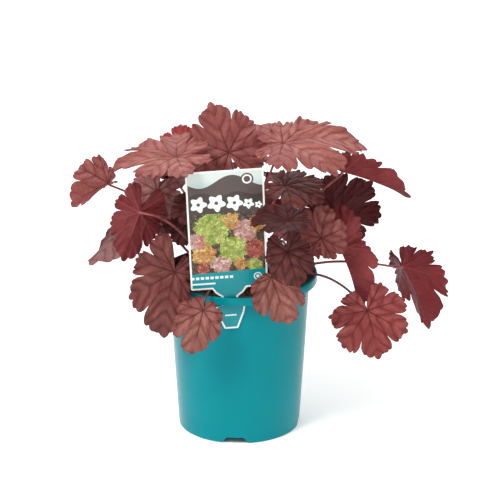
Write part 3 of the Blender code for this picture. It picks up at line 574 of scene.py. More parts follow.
class Nodes:
    """A material and short calls that add nodes to it."""

    def __init__(self, name):
        self.material = bpy.data.materials.new(name)
        self.material.use_nodes = True
        self.tree = self.material.node_tree
        self.shader = self.tree.nodes["Principled BSDF"]

    def put(self, kind, inputs, output=0, **settings):
        """One output of a new node, with its inputs by name or number."""
        node = self.tree.nodes.new("ShaderNode" + kind)
        for key, value in settings.items():
            setattr(node, key, value)
        self.feed(node, inputs)
        return Value(self, node.outputs[output])

    def feed(self, node, inputs):
        """Link or set a node's inputs."""
        for key, value in inputs.items():
            if isinstance(value, Value):
                self.tree.links.new(value.socket, node.inputs[key])
            else:
                node.inputs[key].default_value = value

    def math(self, operation, *values):
        return self.put("Math", dict(enumerate(values)), operation=operation)

    def most(self, first, *others):
        """The highest of some values."""
        for other in others:
            first = self.math("MAXIMUM", first, other)
        return first

    def off_middle(self, value):
        """How far a value lies from the middle of its step of 1."""
        return self.math("ABSOLUTE", self.math("FRACT", value) - 0.5)

    def mix(self, share, first, second):
        return self.put("Mix", {0: share, 6: first, 7: second}, 2, data_type="RGBA")

    def layers(self, colour, *coats):
        """A colour with others laid over it, each by its own share."""
        for share, coat in coats:
            colour = self.mix(share, colour, coat)
        return colour

    def ramp(self, value, low, high):
        """0 below low, 1 above high."""
        return self.put("MapRange", {0: value, 1: low, 2: high}, interpolation_type="SMOOTHSTEP")

    def attribute(self, name):
        """The three numbers of a vector attribute."""
        vector = self.put("Attribute", {}, "Vector", attribute_name=name)
        first = self.put("SeparateXYZ", {0: vector})
        return first, first.beside(1), first.beside(2)

    def place(self):
        return self.put("TexCoord", {}, "Object")

    def noise(self, vector, scale, detail=2.0, roughness=0.5, output=0):
        return self.put("TexNoise", {"Vector": vector, "Scale": scale, "Detail": detail,
                                     "Roughness": roughness}, output)

    def finish(self, colour, roughness, height=None, depth=0.0, **others):
        """The material, with its colour, roughness, relief and the shader's other values."""
        if height:
            others["Normal"] = self.put("Bump", {"Height": height, "Distance": depth})
        self.feed(self.shader, {"Base Color": colour, "Roughness": roughness})
        self.feed(self.shader, {key.replace("_", " "): value for key, value in others.items()})
        return self.material


def leaf_material(name, upper, light, vein, under, under_light):
    """Heuchera leaf: veined and quilted above, burgundy with raised pink veins below."""
    made = Nodes(name)
    along, across, inside = made.attribute("along")
    x, y, below = made.attribute("flat")
    where = made.place()
    step = SIDE_VEIN_STEP / MM
    wander = made.noise(where, 55, 3)
    width = made.most(along * -0.011 + 0.72, 0.3) * (wander * 0.8 + 0.6)
    off_vein = across / width
    main = 1 - made.ramp(off_vein, 0.3, 0.95)
    slant = along - across * (across * (VEIN_BOW * MM) + VEIN_LEAN) + wander * 16
    away = made.off_middle(slant / step)
    side_vein = (1 - made.ramp(away * step, 0.08, 0.55)) * made.ramp(along, 5, 10)
    net = made.put("TexVoronoi", {"Vector": made.put("CombineXYZ", {0: x, 1: y}), "Scale": 0.27},
                   "Distance", feature="DISTANCE_TO_EDGE")
    net_vein = 1 - made.ramp(net, 0, 0.08)
    veins = made.most(main, side_vein * 0.8, net_vein * 0.34)
    raised = made.most(main, side_vein * 0.5, net_vein * 0.12)
    cloud = made.noise(where, 38, 3, 0.6)
    speck = made.noise(where, 900, 2, 0.6)
    broad = made.ramp(made.noise(where, 17, 2), 0.42, 0.66)
    flush = made.ramp(made.noise(where, 13, 3, 0.6), 0.46, 0.66)

    def near_margin(low, high):
        return 1 - made.ramp(inside, low, high)

    top = made.layers(
        upper, (made.ramp(away, 0.1, 0.42) * made.ramp(cloud, 0.3, 0.75), light),
        (speck * 0.18, light), (veins * 0.8, vein),
        ((1 - made.ramp(off_vein, 0.6, 3.4)) * 0.18, vein), (near_margin(0.5, 13) * 0.2, vein),
        (near_margin(0.2, 1.4) * 0.6, vein), (broad * 0.3, upper), (flush * 0.26, under),
        (near_margin(0.5, 7) * 0.14, under_light))
    low = made.layers(
        under, (made.ramp(cloud, 0.35, 0.7), made.mix(0.22, under, under_light)),
        (broad * 0.35, vein), (raised * 0.5, under_light))
    quilt = made.ramp(away, 0, 0.3) * 0.5 + made.noise(where, 170, 2) * 0.9 - veins * 0.6
    return made.finish(made.mix(below, top, low), cloud * 0.22 + 0.38,
                       quilt * (below * -2 + 1) + speck * 0.1, 0.7 * MM, Specular_IOR_Level=0.18,
                       Subsurface_Radius=(0.0025, 0.0007, 0.0006), Subsurface_Scale=1.0,
                       Subsurface_Weight=0.1)


def stalk_material(name, colour, dark):
    """Fleshy stalk, streaked along its length."""
    made = Nodes(name)
    where = made.place()
    streak = made.noise(where, 160, 3, 0.6)
    fine = made.noise(where, 1400, 2)
    return made.finish(made.mix(made.ramp(streak, 0.35, 0.68), colour, dark), fine * 0.15 + 0.35,
                       streak + fine * 0.4, 0.3 * MM, Subsurface_Radius=(0.002, 0.0006, 0.0005),
                       Subsurface_Scale=1.0, Subsurface_Weight=0.1)


def shade(mesh, angle):
    """Shade a mesh smooth up to an angle in degrees."""
    mesh.shade_smooth()
    mesh.set_sharp_from_angle(angle=math.radians(angle))


def add_piece(name, verts, faces, materials):
    """A mesh object from points and faces."""
    mesh = bpy.data.meshes.new(name)
    mesh.from_pydata([tuple(vert) for vert in verts], [], [tuple(face) for face in faces])
    for made in materials:
        mesh.materials.append(made)
    shade(mesh, 50)
    piece = bpy.data.objects.new(name, mesh)
    bpy.context.collection.objects.link(piece)
    return piece


def dress(piece, node):
    """Stand for a node: ride the body and hide the solid."""
    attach(piece, "root")
    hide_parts(node)


# Each look's screen colours: blade above, its light places, its veins, blade below, its veins
LOOKS = {
    "pale": ((146, 80, 73), (184, 120, 112), (84, 34, 33), (122, 42, 48), (172, 90, 90)),
    "pewter": ((158, 106, 103), (204, 160, 156), (94, 48, 47), (122, 42, 48), (172, 90, 90)),
    "rose": ((133, 71, 66), (171, 110, 103), (65, 25, 27), (127, 47, 51), (178, 96, 94)),
    "tan": ((135, 80, 71), (173, 121, 109), (71, 29, 29), (122, 44, 48), (170, 90, 88)),
    "brick": ((135, 59, 56), (168, 90, 85), (70, 24, 27), (112, 36, 41), (162, 76, 77)),
    "brown": ((104, 52, 47), (137, 81, 74), (50, 21, 22), (93, 30, 33), (137, 64, 65)),
    "maroon": ((81, 37, 35), (110, 60, 56), (39, 15, 15), (73, 25, 27), (113, 49, 49)),
    # painted shade: the shade look is a darker copy of the leaf colours, for leaves that sit in
    # shadow
    "shade": ((66, 26, 25), (85, 38, 36), (35, 12, 13), (73, 22, 24), (93, 33, 34)),
    "scarlet": ((142, 68, 64), (177, 105, 95), (80, 28, 31), (166, 66, 68), (200, 112, 106)),
}
WEARERS = {
    "rose": ("leaf_top", "leaf_far_left", "leaf_right_folded", "leaf_right_inner",
             "leaf_right_hanging", "leaf_left"),
    "pale": ("leaf_upper_right", "leaf_upper_left", "leaf_top_right_back"),
    "scarlet": ("leaf_top_left_back",),
    # painted shade: these two leaves take the darker shade copy because they sit in shadow
    "shade": ("leaf_right_dark", "leaf_over_label"),
    "brown": ("leaf_right_middle", "leaf_front_left", "leaf_left_inner_back", "leaf_left_shaded"),
    "brick": ("leaf_low_right", "leaf_low_far_right"),
    "maroon": ("leaf_front_right_upper", "leaf_behind_label_upper", "leaf_behind_label_lower"),
    "tan": ("leaf_front_right", "leaf_low_front_left"),
    "pewter": ("leaf_left_folded", "leaf_left_inner"),
}
LOOK_OF = {name: look for look, names in WEARERS.items() for name in names}
BACK_LOOKS = ("rose", "brick", "pale", "brown")
DARK_STALKS = ("leaf_low_right", "leaf_low_front_left", "leaf_front_left", "leaf_left_shaded",
               "leaf_behind_label_lower", "leaf_front_right", "leaf_front_right_upper")


def settled(rows, roots):
    """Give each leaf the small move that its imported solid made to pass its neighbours."""
    for row, root in zip(rows, roots):
        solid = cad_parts[row["name"]].data
        find = KDTree(len(solid.vertices))
        for index, vert in enumerate(solid.vertices):
            find.insert(vert.co, index)
        find.balance()

        def on_solid(point):
            return find.find(point)[2] < FIND_RADIUS

        axes = axes_of(row)
        probes = []
        for angle in edge_angles()[3::9]:
            point = blade_point(row, angle, 1.0) + blade_normal(row, angle, 1.0) * BLADE_THICK / 2
            probes.append(axes @ point)
        start, rise = row["at"].copy(), row["rise"]
        found = None
        for shift in BEND_SHIFTS:
            row["at"] = start + row["slide"] * shift * MM
            if not all(on_solid(row["at"] + probe) for probe in probes):
                continue
            for bow in BEND_BOWS:
                for more in BEND_RISES:
                    row["bow"], row["rise"] = bow * MM, rise + more
                    rings = coarse_stalk(row, root)
                    if found is None and all(on_solid(point) for point in rings):
                        found = (row["at"].copy(), row["bow"], row["rise"])
            break
        if found is None:
            raise RuntimeError(f"{row['name']} doesn't fit its solid")
        row["at"], row["bow"], row["rise"] = found


def coarse_stalk(row, root):
    """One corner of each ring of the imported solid's stalk."""
    axes = axes_of(row)
    path = stalk_path(row, root)
    side = axes.col[0].copy()
    tip = axes.col[1].copy()
    turn = math.radians(STALK_CORNER)
    corners = []
    for index, point in enumerate(path):
        if index == 0:
            heading = (path[1] - path[0]).normalized() - axes.col[2]
        elif index == len(path) - 1:
            heading = path[index] - path[index - 1]
        else:
            heading = (path[index + 1] - point).normalized() + (point - path[index - 1]).normalized()
        heading.normalize()
        side = (side - heading * side.dot(heading)).normalized()
        across = side.cross(heading)
        tip = across if across.dot(tip) > 0 else -across
        share = index / (len(path) - 1)
        radius = STALK_TOP_RADIUS + (STALK_FOOT_RADIUS - STALK_TOP_RADIUS) * share
        corners.append(point + (side * math.sin(turn) + tip * math.cos(turn)) * radius)
    return corners


def fine_angles():
    """Angles of the fine blade's points round its edge."""
    angles = []
    count = SCALLOPS * SCALLOP_STEPS
    for start, middle, end in zip(LOBE_ENDS, LOBE_CENTRES, LOBE_ENDS[1:]):
        for index in range(count):
            place = -1 + 2 * index / count
            angles.append(middle + place * (middle - start if place < 0 else end - middle))
    last = LOBE_ENDS[-1]
    sinus = [last + (180 - last) * index / SINUS_STEPS for index in range(SINUS_STEPS)]
    return [-angle for angle in sinus[:0:-1]] + angles + sinus + [180.0]


def fine_radius(row, angle):
    """The margin's radius with scallops, rounder lobes and narrower cuts between them."""
    place = abs(lobe_place(angle))
    plain = 1 - row["notch"] * place ** LOBE_ROUNDNESS
    round_lobe = 1 - row["notch"] * (1 - (1 - place ** 2.2) ** 0.42)
    scallop = abs(math.cos(SCALLOPS * math.pi / 2 * lobe_place(angle))) ** 0.6
    if abs(angle) > LOBE_ENDS[-1]:
        scallop = 0
    scallop *= 1 + 0.4 * math.sin(angle * 0.21 + row["seed"])
    radius = margin_radius(row, angle) * round_lobe / plain
    return radius * (1 + SCALLOP_DEPTH * (scallop - 0.6))


def fine_blade(row):
    """Grid of the fine blade's middle surface, its normals, and what its look is read from."""
    angles, seed = fine_angles(), row["seed"]
    edge = np.array([fine_radius(row, angle) for angle in angles])
    radians = np.radians(angles)
    forward, side = np.cos(radians), np.sin(radians)
    arc = np.array(RING_SHARES)[:, None] * edge[None, :]
    share = arc / edge
    out, up = bent(row, radians, arc, np.array([lobe_place(angle) for angle in angles]))
    centres = [min(LOBE_CENTRES, key=lambda centre: abs(centre - angle)) for angle in angles]
    off_vein = radians - np.radians(centres)
    along, across = arc * np.cos(off_vein), np.abs(arc * np.sin(off_vein))
    up = up - VEIN_GROOVE * np.exp(-(across / VEIN_WIDTH) ** 2) * (1 - share) ** 0.5
    slant = along - across * (VEIN_LEAN + VEIN_BOW * across)
    quilting = np.sin(slant / SIDE_VEIN_STEP * 2 * math.pi) * np.minimum(1, across / QUILT_START)
    up = up + QUILT_RISE * quilting * (1 - share) ** 0.3
    frill = np.sin(radians * 23 + seed) + np.sin(radians * 37 + 2 * seed)
    sway = np.sin(radians * 9 + 1.7 * seed)
    waves = FRILL_RISE * frill * share ** 4 + SWAY_RISE * sway * share ** 2
    up = up + row["reach"] * waves * (edge > LEAST_WAVY_EDGE)
    points = np.stack((out * side, out * forward, up), axis=-1)
    around = np.roll(points, -1, axis=1) - np.roll(points, 1, axis=1)
    normals = np.cross(around, np.gradient(points, axis=0))
    normals /= np.maximum(np.linalg.norm(normals, axis=-1, keepdims=True), 1e-12)
    flat = np.stack((arc * side, arc * forward), axis=-1)
    return points, normals, np.stack((along, across, edge - arc), axis=-1), flat


def stalk_rings(row, root):
    """The corners of the fine stalk's rings, from the blade down to the crown."""
    axes = axes_of(row)
    joint = row["at"] - axes.col[2] * FINE_THICK / 2
    path = smooth_path([joint] + stalk_path(row, root), STALK_FINE_RINGS)
    side = axes.col[0].copy()
    rings = []
    for index, (point, heading) in enumerate(path):
        side = (side - heading * side.dot(heading)).normalized()
        other = heading.cross(side)
        share = index / (len(path) - 1)
        radius = STALK_TOP_RADIUS * STALK_SLIM + (STALK_FOOT_RADIUS - STALK_TOP_RADIUS) * share
        radius += NECK_SWELL * max(0, 1 - share * 14) ** 2
        radius += FOOT_SWELL * max(0, share * 6 - 5) ** 2
        ring = []
        for corner in range(STALK_FINE_SIDES):
            turn = 2 * math.pi * corner / STALK_FINE_SIDES
            grown = radius * (1 + STALK_RIB * math.cos(3 * turn + row["seed"] + share * 4))
            ring.append(tuple(point + (side * math.cos(turn) + other * math.sin(turn)) * grown))
        rings.append(ring)
    return rings


def add_fine_leaf(row, root, blade_look, stalk_look):
    """One leaf: veined blade and its round stalk in one mesh."""
    points, normals, place, flat = fine_blade(row)
    axes, at = np.array(axes_of(row)), np.array(row["at"])
    rings, count = points.shape[:2]
    verts, along, flats, faces, margins = [], [], [], [], []
    for below in (0, 1):
        shift = FINE_THICK / 2 * (-1 if below else 1)
        start, middle = len(verts), len(verts) + rings * count
        layer = np.vstack(((points + normals * shift).reshape(-1, 3), (0, 0, shift)))
        verts += (layer @ axes.T + at).tolist()
        along += (place.reshape(-1, 3) / MM).tolist() + [(0, 0, 30)]
        flats += [(u / MM, v / MM, below) for u, v in flat.reshape(-1, 2)] + [(0, 0, below)]
        loops = [list(range(first, first + count)) for first in range(start, middle, count)]
        sheet = [(middle, after, corner)
                 for corner, after in zip(loops[0], loops[0][1:] + loops[0][:1])]
        for inner, outer in zip(loops, loops[1:]):
            sheet += bridged(inner, outer)
        faces += [face[::-1] for face in sheet] if below else sheet
        margins.append(loops[-1])
    faces += bridged(*margins)
    kinds = [0] * len(faces)

    before = None
    for corners in stalk_rings(row, root):
        ring = list(range(len(verts), len(verts) + STALK_FINE_SIDES))
        verts += corners
        along += [(0, 0, 0)] * STALK_FINE_SIDES
        flats += [(0, 0, 1)] * STALK_FINE_SIDES
        faces += bridged(before, ring) if before else []
        before = ring
    kinds += [1] * (len(faces) - len(kinds))
    piece = add_piece(row["name"] + "_fine", verts, faces, (blade_look, stalk_look))
    piece.data.polygons.foreach_set("material_index", kinds)
    hold_vectors(piece.data, "along", along)
    hold_vectors(piece.data, "flat", flats)
    face_outwards(piece.data)
    dress(piece, row["name"])


def hold_vectors(mesh, name, vectors):
    """Keep a vector for each of a mesh's points, which its material reads."""
    held = mesh.attributes.new(name, "FLOAT_VECTOR", "POINT")
    held.data.foreach_set("vector", np.array(vectors, dtype=np.float32).ravel())


def face_outwards(mesh):
    """Point every face of a mesh outwards."""
    held = bmesh.new()
    held.from_mesh(mesh)
    bmesh.ops.recalc_face_normals(held, faces=held.faces)
    held.to_mesh(mesh)
    held.free()


def smooth_path(points, steps):
    """Even points and headings along a smooth curve through some points."""
    spots = [Vector(point) for point in points]
    curve = []
    for index in range(len(spots) - 1):
        before = spots[max(index - 1, 0)]
        start, end = spots[index], spots[index + 1]
        after = spots[min(index + 2, len(spots) - 1)]
        for step in range(CURVE_STEPS):
            share = step / CURVE_STEPS
            first = (end - before) * 0.5
            last = (after - start) * 0.5
            reach = (end - start).length
            first = first.normalized() * reach if first.length > 0 else first
            last = last.normalized() * reach if last.length > 0 else last
            square, cube = share ** 2, share ** 3
            curve.append(start * (2 * cube - 3 * square + 1) + first * (cube - 2 * square + share)
                         + end * (3 * square - 2 * cube) + last * (cube - square))
    curve.append(spots[-1])
    runs = [0.0]
    for first, second in zip(curve, curve[1:]):
        runs.append(runs[-1] + (second - first).length)
    even = []
    for index in range(steps + 1):
        want = runs[-1] * (index / steps) ** 1.15
        spot = min(range(len(runs) - 1), key=lambda i: (runs[i + 1] < want, i))
        span = max(runs[spot + 1] - runs[spot], 1e-9)
        even.append(curve[spot].lerp(curve[spot + 1], min(1, (want - runs[spot]) / span)))
    headed = []
    for index, point in enumerate(even):
        heading = even[min(index + 1, steps)] - even[max(index - 1, 0)]
        headed.append((point, heading.normalized()))
    return headed


def turned_mesh(profile, segments):
    """A closed bmesh turned about Z from (radius, height) points that start and end on it."""
    held = bmesh.new()
    rings = []
    for radius, height in profile:
        corners = regular_outline(segments, radius) if radius else [(0, 0)]
        rings.append([held.verts.new((x, y, height)) for x, y in corners])
    for lower, upper in zip(rings, rings[1:]):
        wide = bridged(lower if len(lower) > 1 else lower * segments,
                       upper if len(upper) > 1 else upper * segments)
        for face in wide:
            held.faces.new(tuple(dict.fromkeys(face)))
    bmesh.ops.recalc_face_normals(held, faces=held.faces)
    return held


def fillet(before, corner, after, most, part):
    """The points that round a corner off, up to a length and a part of its shorter side."""
    back, ahead = before - corner, after - corner
    cut = min(most, back.length * part, ahead.length * part)
    start, end = corner + back.normalized() * cut, corner + ahead.normalized() * cut
    shares = [index / FILLET_STEPS for index in range(FILLET_STEPS + 1)]
    return [start.lerp(corner, share).lerp(corner.lerp(end, share), share) for share in shares]


def rounded(profile, radius):
    """An open profile with each inner corner rounded."""
    spots = [Vector(point) for point in profile]
    points = [profile[0]]
    for before, corner, after in zip(spots, spots[1:], spots[2:]):
        points += [tuple(point) for point in fillet(before, corner, after, radius, 0.45)]
    return points + [profile[-1]]


def object_of(name, held, materials=()):
    """An object from a bmesh, which is freed."""
    mesh = bpy.data.meshes.new(name)
    held.to_mesh(mesh)
    held.free()
    for made in materials:
        mesh.materials.append(made)
    piece = bpy.data.objects.new(name, mesh)
    bpy.context.collection.objects.link(piece)
    return piece


def apply_modifiers(piece):
    """Replace an object's mesh by what its modifiers make of it."""
    bpy.context.view_layer.update()
    graph = bpy.context.evaluated_depsgraph_get()
    mesh = bpy.data.meshes.new_from_object(piece.evaluated_get(graph))
    piece.modifiers.clear()
    piece.data = mesh


def pot_materials():
    """Teal plastic outside and near-black inside."""
    made = Nodes("pot_teal")
    where = made.place()
    grain = made.noise(where, 1500, 2)
    drawn = made.noise(made.put("Mapping", {0: where, "Scale": (1, 1, 0.06)}), 220, 3, 0.6)
    cloud = made.ramp(made.noise(where, 14, 2), 0.3, 0.7)
    colour = made.layers(srgb(0, 131, 140), (cloud, srgb(0, 137, 146)),
                         (made.ramp(drawn, 0.5, 0.8) * 0.06, srgb(0, 118, 128)))
    outside = made.finish(colour, grain * 0.08 + 0.2, grain * 0.6 + drawn, 0.08 * MM,
                          Specular_IOR_Level=0.1)
    made = Nodes("pot_inside")
    dust = made.noise(made.place(), 120, 4, 0.7)
    colour = made.mix(made.ramp(dust, 0.5, 0.8), srgb(16, 26, 27), srgb(52, 46, 40))
    return outside, made.finish(colour, dust * 0.3 + 0.45, dust, 0.2 * MM)


def add_fine_pot():
    """The pot with rounded edges, its notches, drain holes and label slot."""
    rim_inside = RIM_RADIUS - POT_WALL
    under_rim = POT_HEIGHT - POT_WALL
    raised_top = BASE_RAISE + BASE_PLATE
    profile = [
        (0, 0), (BASE_PAD_RADIUS, 0), (BASE_PAD_RADIUS + BASE_SLOPE, BASE_RAISE),
        (wall_radius(BASE_RAISE) - POT_WALL, BASE_RAISE), (WALL_FOOT_RADIUS - POT_WALL, 0),
        (WALL_FOOT_RADIUS, 0), (wall_radius(under_rim - POT_LIP), under_rim - POT_LIP),
        (wall_radius(under_rim) + 0.8 * MM, under_rim), (rim_inside, under_rim),
        (rim_inside, POT_HEIGHT - RIM_SKIRT), (RIM_RADIUS, POT_HEIGHT - RIM_SKIRT),
        (RIM_RADIUS - 0.2 * MM, POT_HEIGHT), (RIM_RADIUS - RIM_SKIN, POT_HEIGHT),
        (WALL_TOP_RADIUS - POT_WALL, POT_HEIGHT),
        (wall_radius(raised_top) - POT_WALL, raised_top),
        (BASE_PAD_RADIUS + BASE_SLOPE - POT_WALL, raised_top),
        (BASE_PAD_RADIUS - POT_WALL, BASE_PLATE), (0, BASE_PLATE),
    ]
    outside, inside = pot_materials()
    pot = object_of("pot_fine", turned_mesh(rounded(profile, POT_FILLET), POT_FINE_SEGMENTS),
                    (outside, inside))
    cutter = bmesh.new()
    half_wide, half_narrow = FOOT_NOTCH_WIDE / 2, FOOT_NOTCH_NARROW / 2
    notch_top = BASE_RAISE - FOOT_NOTCH_ROOF
    notch = [(-half_wide - MM, -MM), (half_wide + MM, -MM), (half_narrow, notch_top),
             (-half_narrow, notch_top)]
    for index in range(FOOT_NOTCHES):
        turn = Matrix.Rotation(math.radians(FOOT_NOTCH_TURN + 90 + 90 * index), 4, "Z")
        stand = Matrix.Rotation(math.radians(90), 4, "X")
        add_prism(cutter, notch, WALL_FOOT_RADIUS - FOOT_NOTCH_CUT,
                  WALL_FOOT_RADIUS + FOOT_NOTCH_CUT, turn @ stand)
    for index in range(DRAIN_HOLES):
        bearing = 2 * math.pi * (index + 0.5) / DRAIN_HOLES
        at = Vector((math.cos(bearing), math.sin(bearing), 0)) * DRAIN_RING_RADIUS
        add_prism(cutter, regular_outline(DRAIN_FINE_SIDES, DRAIN_RADIUS),
                  BASE_RAISE - CUT_OVERRUN, raised_top + CUT_OVERRUN, Matrix.Translation(at))
    slot_near, slot_far = LABEL_AT_Y + LABEL_SLOT_PLAY, LABEL_AT_Y - LABEL_SLOT_PLAY
    slot = [(LABEL_AT_X - LABEL_SLOT_HALF, slot_far), (LABEL_AT_X + LABEL_SLOT_HALF, slot_far),
            (LABEL_AT_X + LABEL_SLOT_HALF, slot_near), (LABEL_AT_X - LABEL_SLOT_HALF, slot_near)]
    add_prism(cutter, slot, under_rim - CUT_OVERRUN, POT_HEIGHT + CUT_OVERRUN, Matrix.Identity(4))
    tool = object_of("pot_tool", cutter)
    difference = pot.modifiers.new("cut", "BOOLEAN")
    difference.object = tool
    apply_modifiers(pot)
    bpy.data.objects.remove(tool, do_unlink=True)
    shade(pot.data, 38)
    for face in pot.data.polygons:
        centre = face.center
        reach = math.hypot(centre.x, centre.y)
        most = wall_radius(centre.z) - POT_WALL * 0.7
        if centre.z > POT_HEIGHT - 0.6 * MM:
            most = RIM_RADIUS - RIM_SKIN
        within = centre.z > raised_top and reach < most
        on_pad = reach < BASE_PAD_RADIUS and centre.z > BASE_PLATE * 0.9
        face.material_index = int(within or on_pad)
    dress(pot, "pot")


def soil_material():
    """Damp bark and peat."""
    made = Nodes("potting_mix")
    where = made.place()
    clod = made.put("TexVoronoi", {"Vector": where, "Scale": 320}, "Distance")
    grain = made.noise(where, 700, 4, 0.7)
    tone = made.put("SeparateColor", {0: clod.beside("Color")})
    colour = made.layers(srgb(26, 19, 15), (tone, srgb(74, 54, 38)),
                         (made.ramp(grain, 0.6, 0.8), srgb(112, 88, 64)))
    return made.finish(colour, 0.92, clod * -1 + grain, 1.2 * MM)


def add_fine_soil():
    """Lumpy potting mix with bark chips on it."""
    raised_top = BASE_RAISE + BASE_PLATE + GAP
    hole = CROWN_SIDE_RADIUS + GAP
    reach = wall_radius(SOIL_TOP) - POT_WALL - GAP - SOIL_PLAY
    floor_reach = wall_radius(raised_top) - POT_WALL - GAP - SOIL_PLAY
    profile = [
        (0, BASE_PLATE + GAP), (BASE_PAD_RADIUS - POT_WALL - GAP, BASE_PLATE + GAP),
        (BASE_PAD_RADIUS + BASE_SLOPE - POT_WALL - GAP, raised_top), (floor_reach, raised_top),
        (reach, SOIL_TOP),
    ]
    profile += [(reach + (hole - reach) * (index + 1) / SOIL_FINE_RINGS, SOIL_TOP)
                for index in range(SOIL_FINE_RINGS)]
    profile += [(hole, SOIL_TOP - CROWN_DEPTH - GAP), (0, SOIL_TOP - CROWN_DEPTH - GAP)]
    held = turned_mesh(profile, SOIL_FINE_SEGMENTS)
    draw = random.Random(SOIL_SEED)
    for vert in held.verts:
        if abs(vert.co.z - SOIL_TOP) < 0.1 * MM and vert.co.xy.length < reach - 0.5 * MM:
            x, y = vert.co.x, vert.co.y
            rough = math.sin(900 * x + 3 * math.sin(700 * y)) * math.sin(1100 * y + 2)
            vert.co.z = soil_height(x, y) + 0.5 * MM * rough + draw.uniform(-0.35, 0.35) * MM
    for _ in range(CHIPS):
        bearing = draw.uniform(0, 2 * math.pi)
        radius = draw.uniform(hole + MM, reach - 3 * MM)
        x, y = radius * math.cos(bearing), radius * math.sin(bearing)
        at = Matrix.Translation((x, y, soil_height(x, y) + 0.5 * MM))
        spin = Matrix.Rotation(draw.uniform(0, math.pi), 4, "Z")
        tip = Matrix.Rotation(draw.uniform(-0.7, 0.7), 4, "X")
        size = draw.uniform(1.2, 3.6) * MM
        wide, high = size * draw.uniform(0.4, 0.8), size * draw.uniform(0.2, 0.4)
        place = at @ spin @ tip @ Matrix.Diagonal((size, wide, high, 1))
        chip = bmesh.ops.create_icosphere(held, subdivisions=1, radius=0.7, matrix=place)
        for vert in chip["verts"]:
            vert.co += Vector([draw.uniform(-0.12, 0.12) * size for _ in range(3)])
    soil = object_of("potting_mix_fine", held, (soil_material(),))
    shade(soil.data, 34)
    dress(soil, "soil")


def crown_material():
    """Brown papery scales."""
    made = Nodes("crown_scales")
    where = made.place()
    streak = made.noise(where, 260, 4, 0.65)
    fine = made.noise(where, 1300, 3)
    colour = made.layers(srgb(72, 42, 32), (made.ramp(streak, 0.3, 0.7), srgb(142, 96, 74)),
                         (made.ramp(fine, 0.55, 0.8) * 0.6, srgb(120, 58, 54)))
    return made.finish(colour, 0.8, streak + fine, 0.6 * MM)


def add_fine_crown(roots):
    """The crown: an uneven dome covered in scales, which keep clear of the stalks."""
    centre_z = CROWN_TOP - CROWN_DOME_RADIUS
    profile = [(0, SOIL_TOP - CROWN_DEPTH), (CROWN_SIDE_RADIUS, SOIL_TOP - CROWN_DEPTH)]
    edge = math.degrees(math.asin(CROWN_SIDE_RADIUS / CROWN_DOME_RADIUS))
    for index in range(CROWN_FINE_RINGS + 1):
        lean = math.radians(edge * (1 - index / CROWN_FINE_RINGS))
        profile.append((CROWN_DOME_RADIUS * math.sin(lean),
                        centre_z + CROWN_DOME_RADIUS * math.cos(lean)))
    held = turned_mesh(profile, CROWN_FINE_SEGMENTS)
    draw = random.Random(CROWN_SEED)
    for vert in held.verts:
        if vert.co.z > SOIL_TOP - 2 * MM:
            x, y = vert.co.x, vert.co.y
            swell = math.sin(520 * x + 2) * math.sin(480 * y) + draw.uniform(-0.4, 0.4)
            vert.co.z += min(0, swell - 0.7) * 0.8 * MM
    middle = Vector((0, 0, centre_z))
    for _ in range(SCALES):
        lean = math.radians(draw.uniform(4, edge - 3))
        bearing = draw.uniform(0, 2 * math.pi)
        flat = math.sin(lean)
        out = Vector((flat * math.cos(bearing), flat * math.sin(bearing), math.cos(lean)))
        near = min((out - root).length for root in roots) * CROWN_DOME_RADIUS
        if near < SCALE_CLEAR:
            continue
        foot = middle + out * (CROWN_DOME_RADIUS - SCALE_SUNK)
        turn = out.to_track_quat("Z", "Y").to_matrix().to_4x4()
        spin = Matrix.Rotation(draw.uniform(0, 2 * math.pi), 4, "Z")
        rest = Matrix.Rotation(math.radians(draw.uniform(20, 55)), 4, "X")
        size = draw.uniform(2.6, 4.4) * MM
        place = Matrix.Translation(foot) @ turn @ spin @ rest
        add_scale(held, place, size, draw)
    crown = object_of("crown_fine", held, (crown_material(),))
    shade(crown.data, 45)
    dress(crown, "crown")


def add_scale(held, place, size, draw):
    """A small pointed scale, curved like a spoon."""
    before = None
    for share, half in SCALE_ROWS:
        ring = []
        for step in (-1, 0, 1) if half else (0,):
            spot = (step * half, share + draw.uniform(-0.03, 0.03),
                    0.25 * share ** 2 + 0.12 * step ** 2)
            ring.append(held.verts.new(place @ (Vector(spot) * size)))
        for left, right in ((0, 1), (1, 2)) if before else ():
            top = (ring[right], ring[left]) if half else (ring[0],)
            held.faces.new((before[left], before[right], *top))
        before = ring


# The label's print, in mm on its sheet: white shapes by middle, reach and turn, and the
# planting's clumps by middle, reach and colour
WHITE_SHAPES = ((-23.5, 88, 7.6, 0.2), (-8, 88.6, 8.2, 1), (7.5, 88, 7.6, 0.6),
                (19.5, 86.6, 5, 1.5), (28, 85, 3.4, 0))
CLUMPS = ((-13, 65, 15, "green"), (16, 62, 10.5, "pink"), (27, 68, 7.5, "amber"),
          (-21, 42, 10.5, "amber"), (5, 45, 12, "green"), (24, 44, 9, "red"), (4, 72, 7, "amber"),
          (-6, 31, 8.5, "pink"), (-27, 54, 7.5, "pink"), (11, 31, 6, "amber"),
          (23, 29, 6.5, "green"), (-22, 28, 5.5, "red"))
CLUMP_COLOURS = {"green": ((150, 186, 34), (242, 248, 140)),
                 "pink": ((226, 118, 104), (255, 228, 216)),
                 "amber": ((220, 126, 30), (255, 214, 124)), "red": ((160, 44, 38), (236, 110, 92))}
# How far the clumps' edges are thrown about, in mm, and how far that moves them on the whole
CLUMP_JITTER = 13
CLUMP_MOVE = CLUMP_JITTER / 2


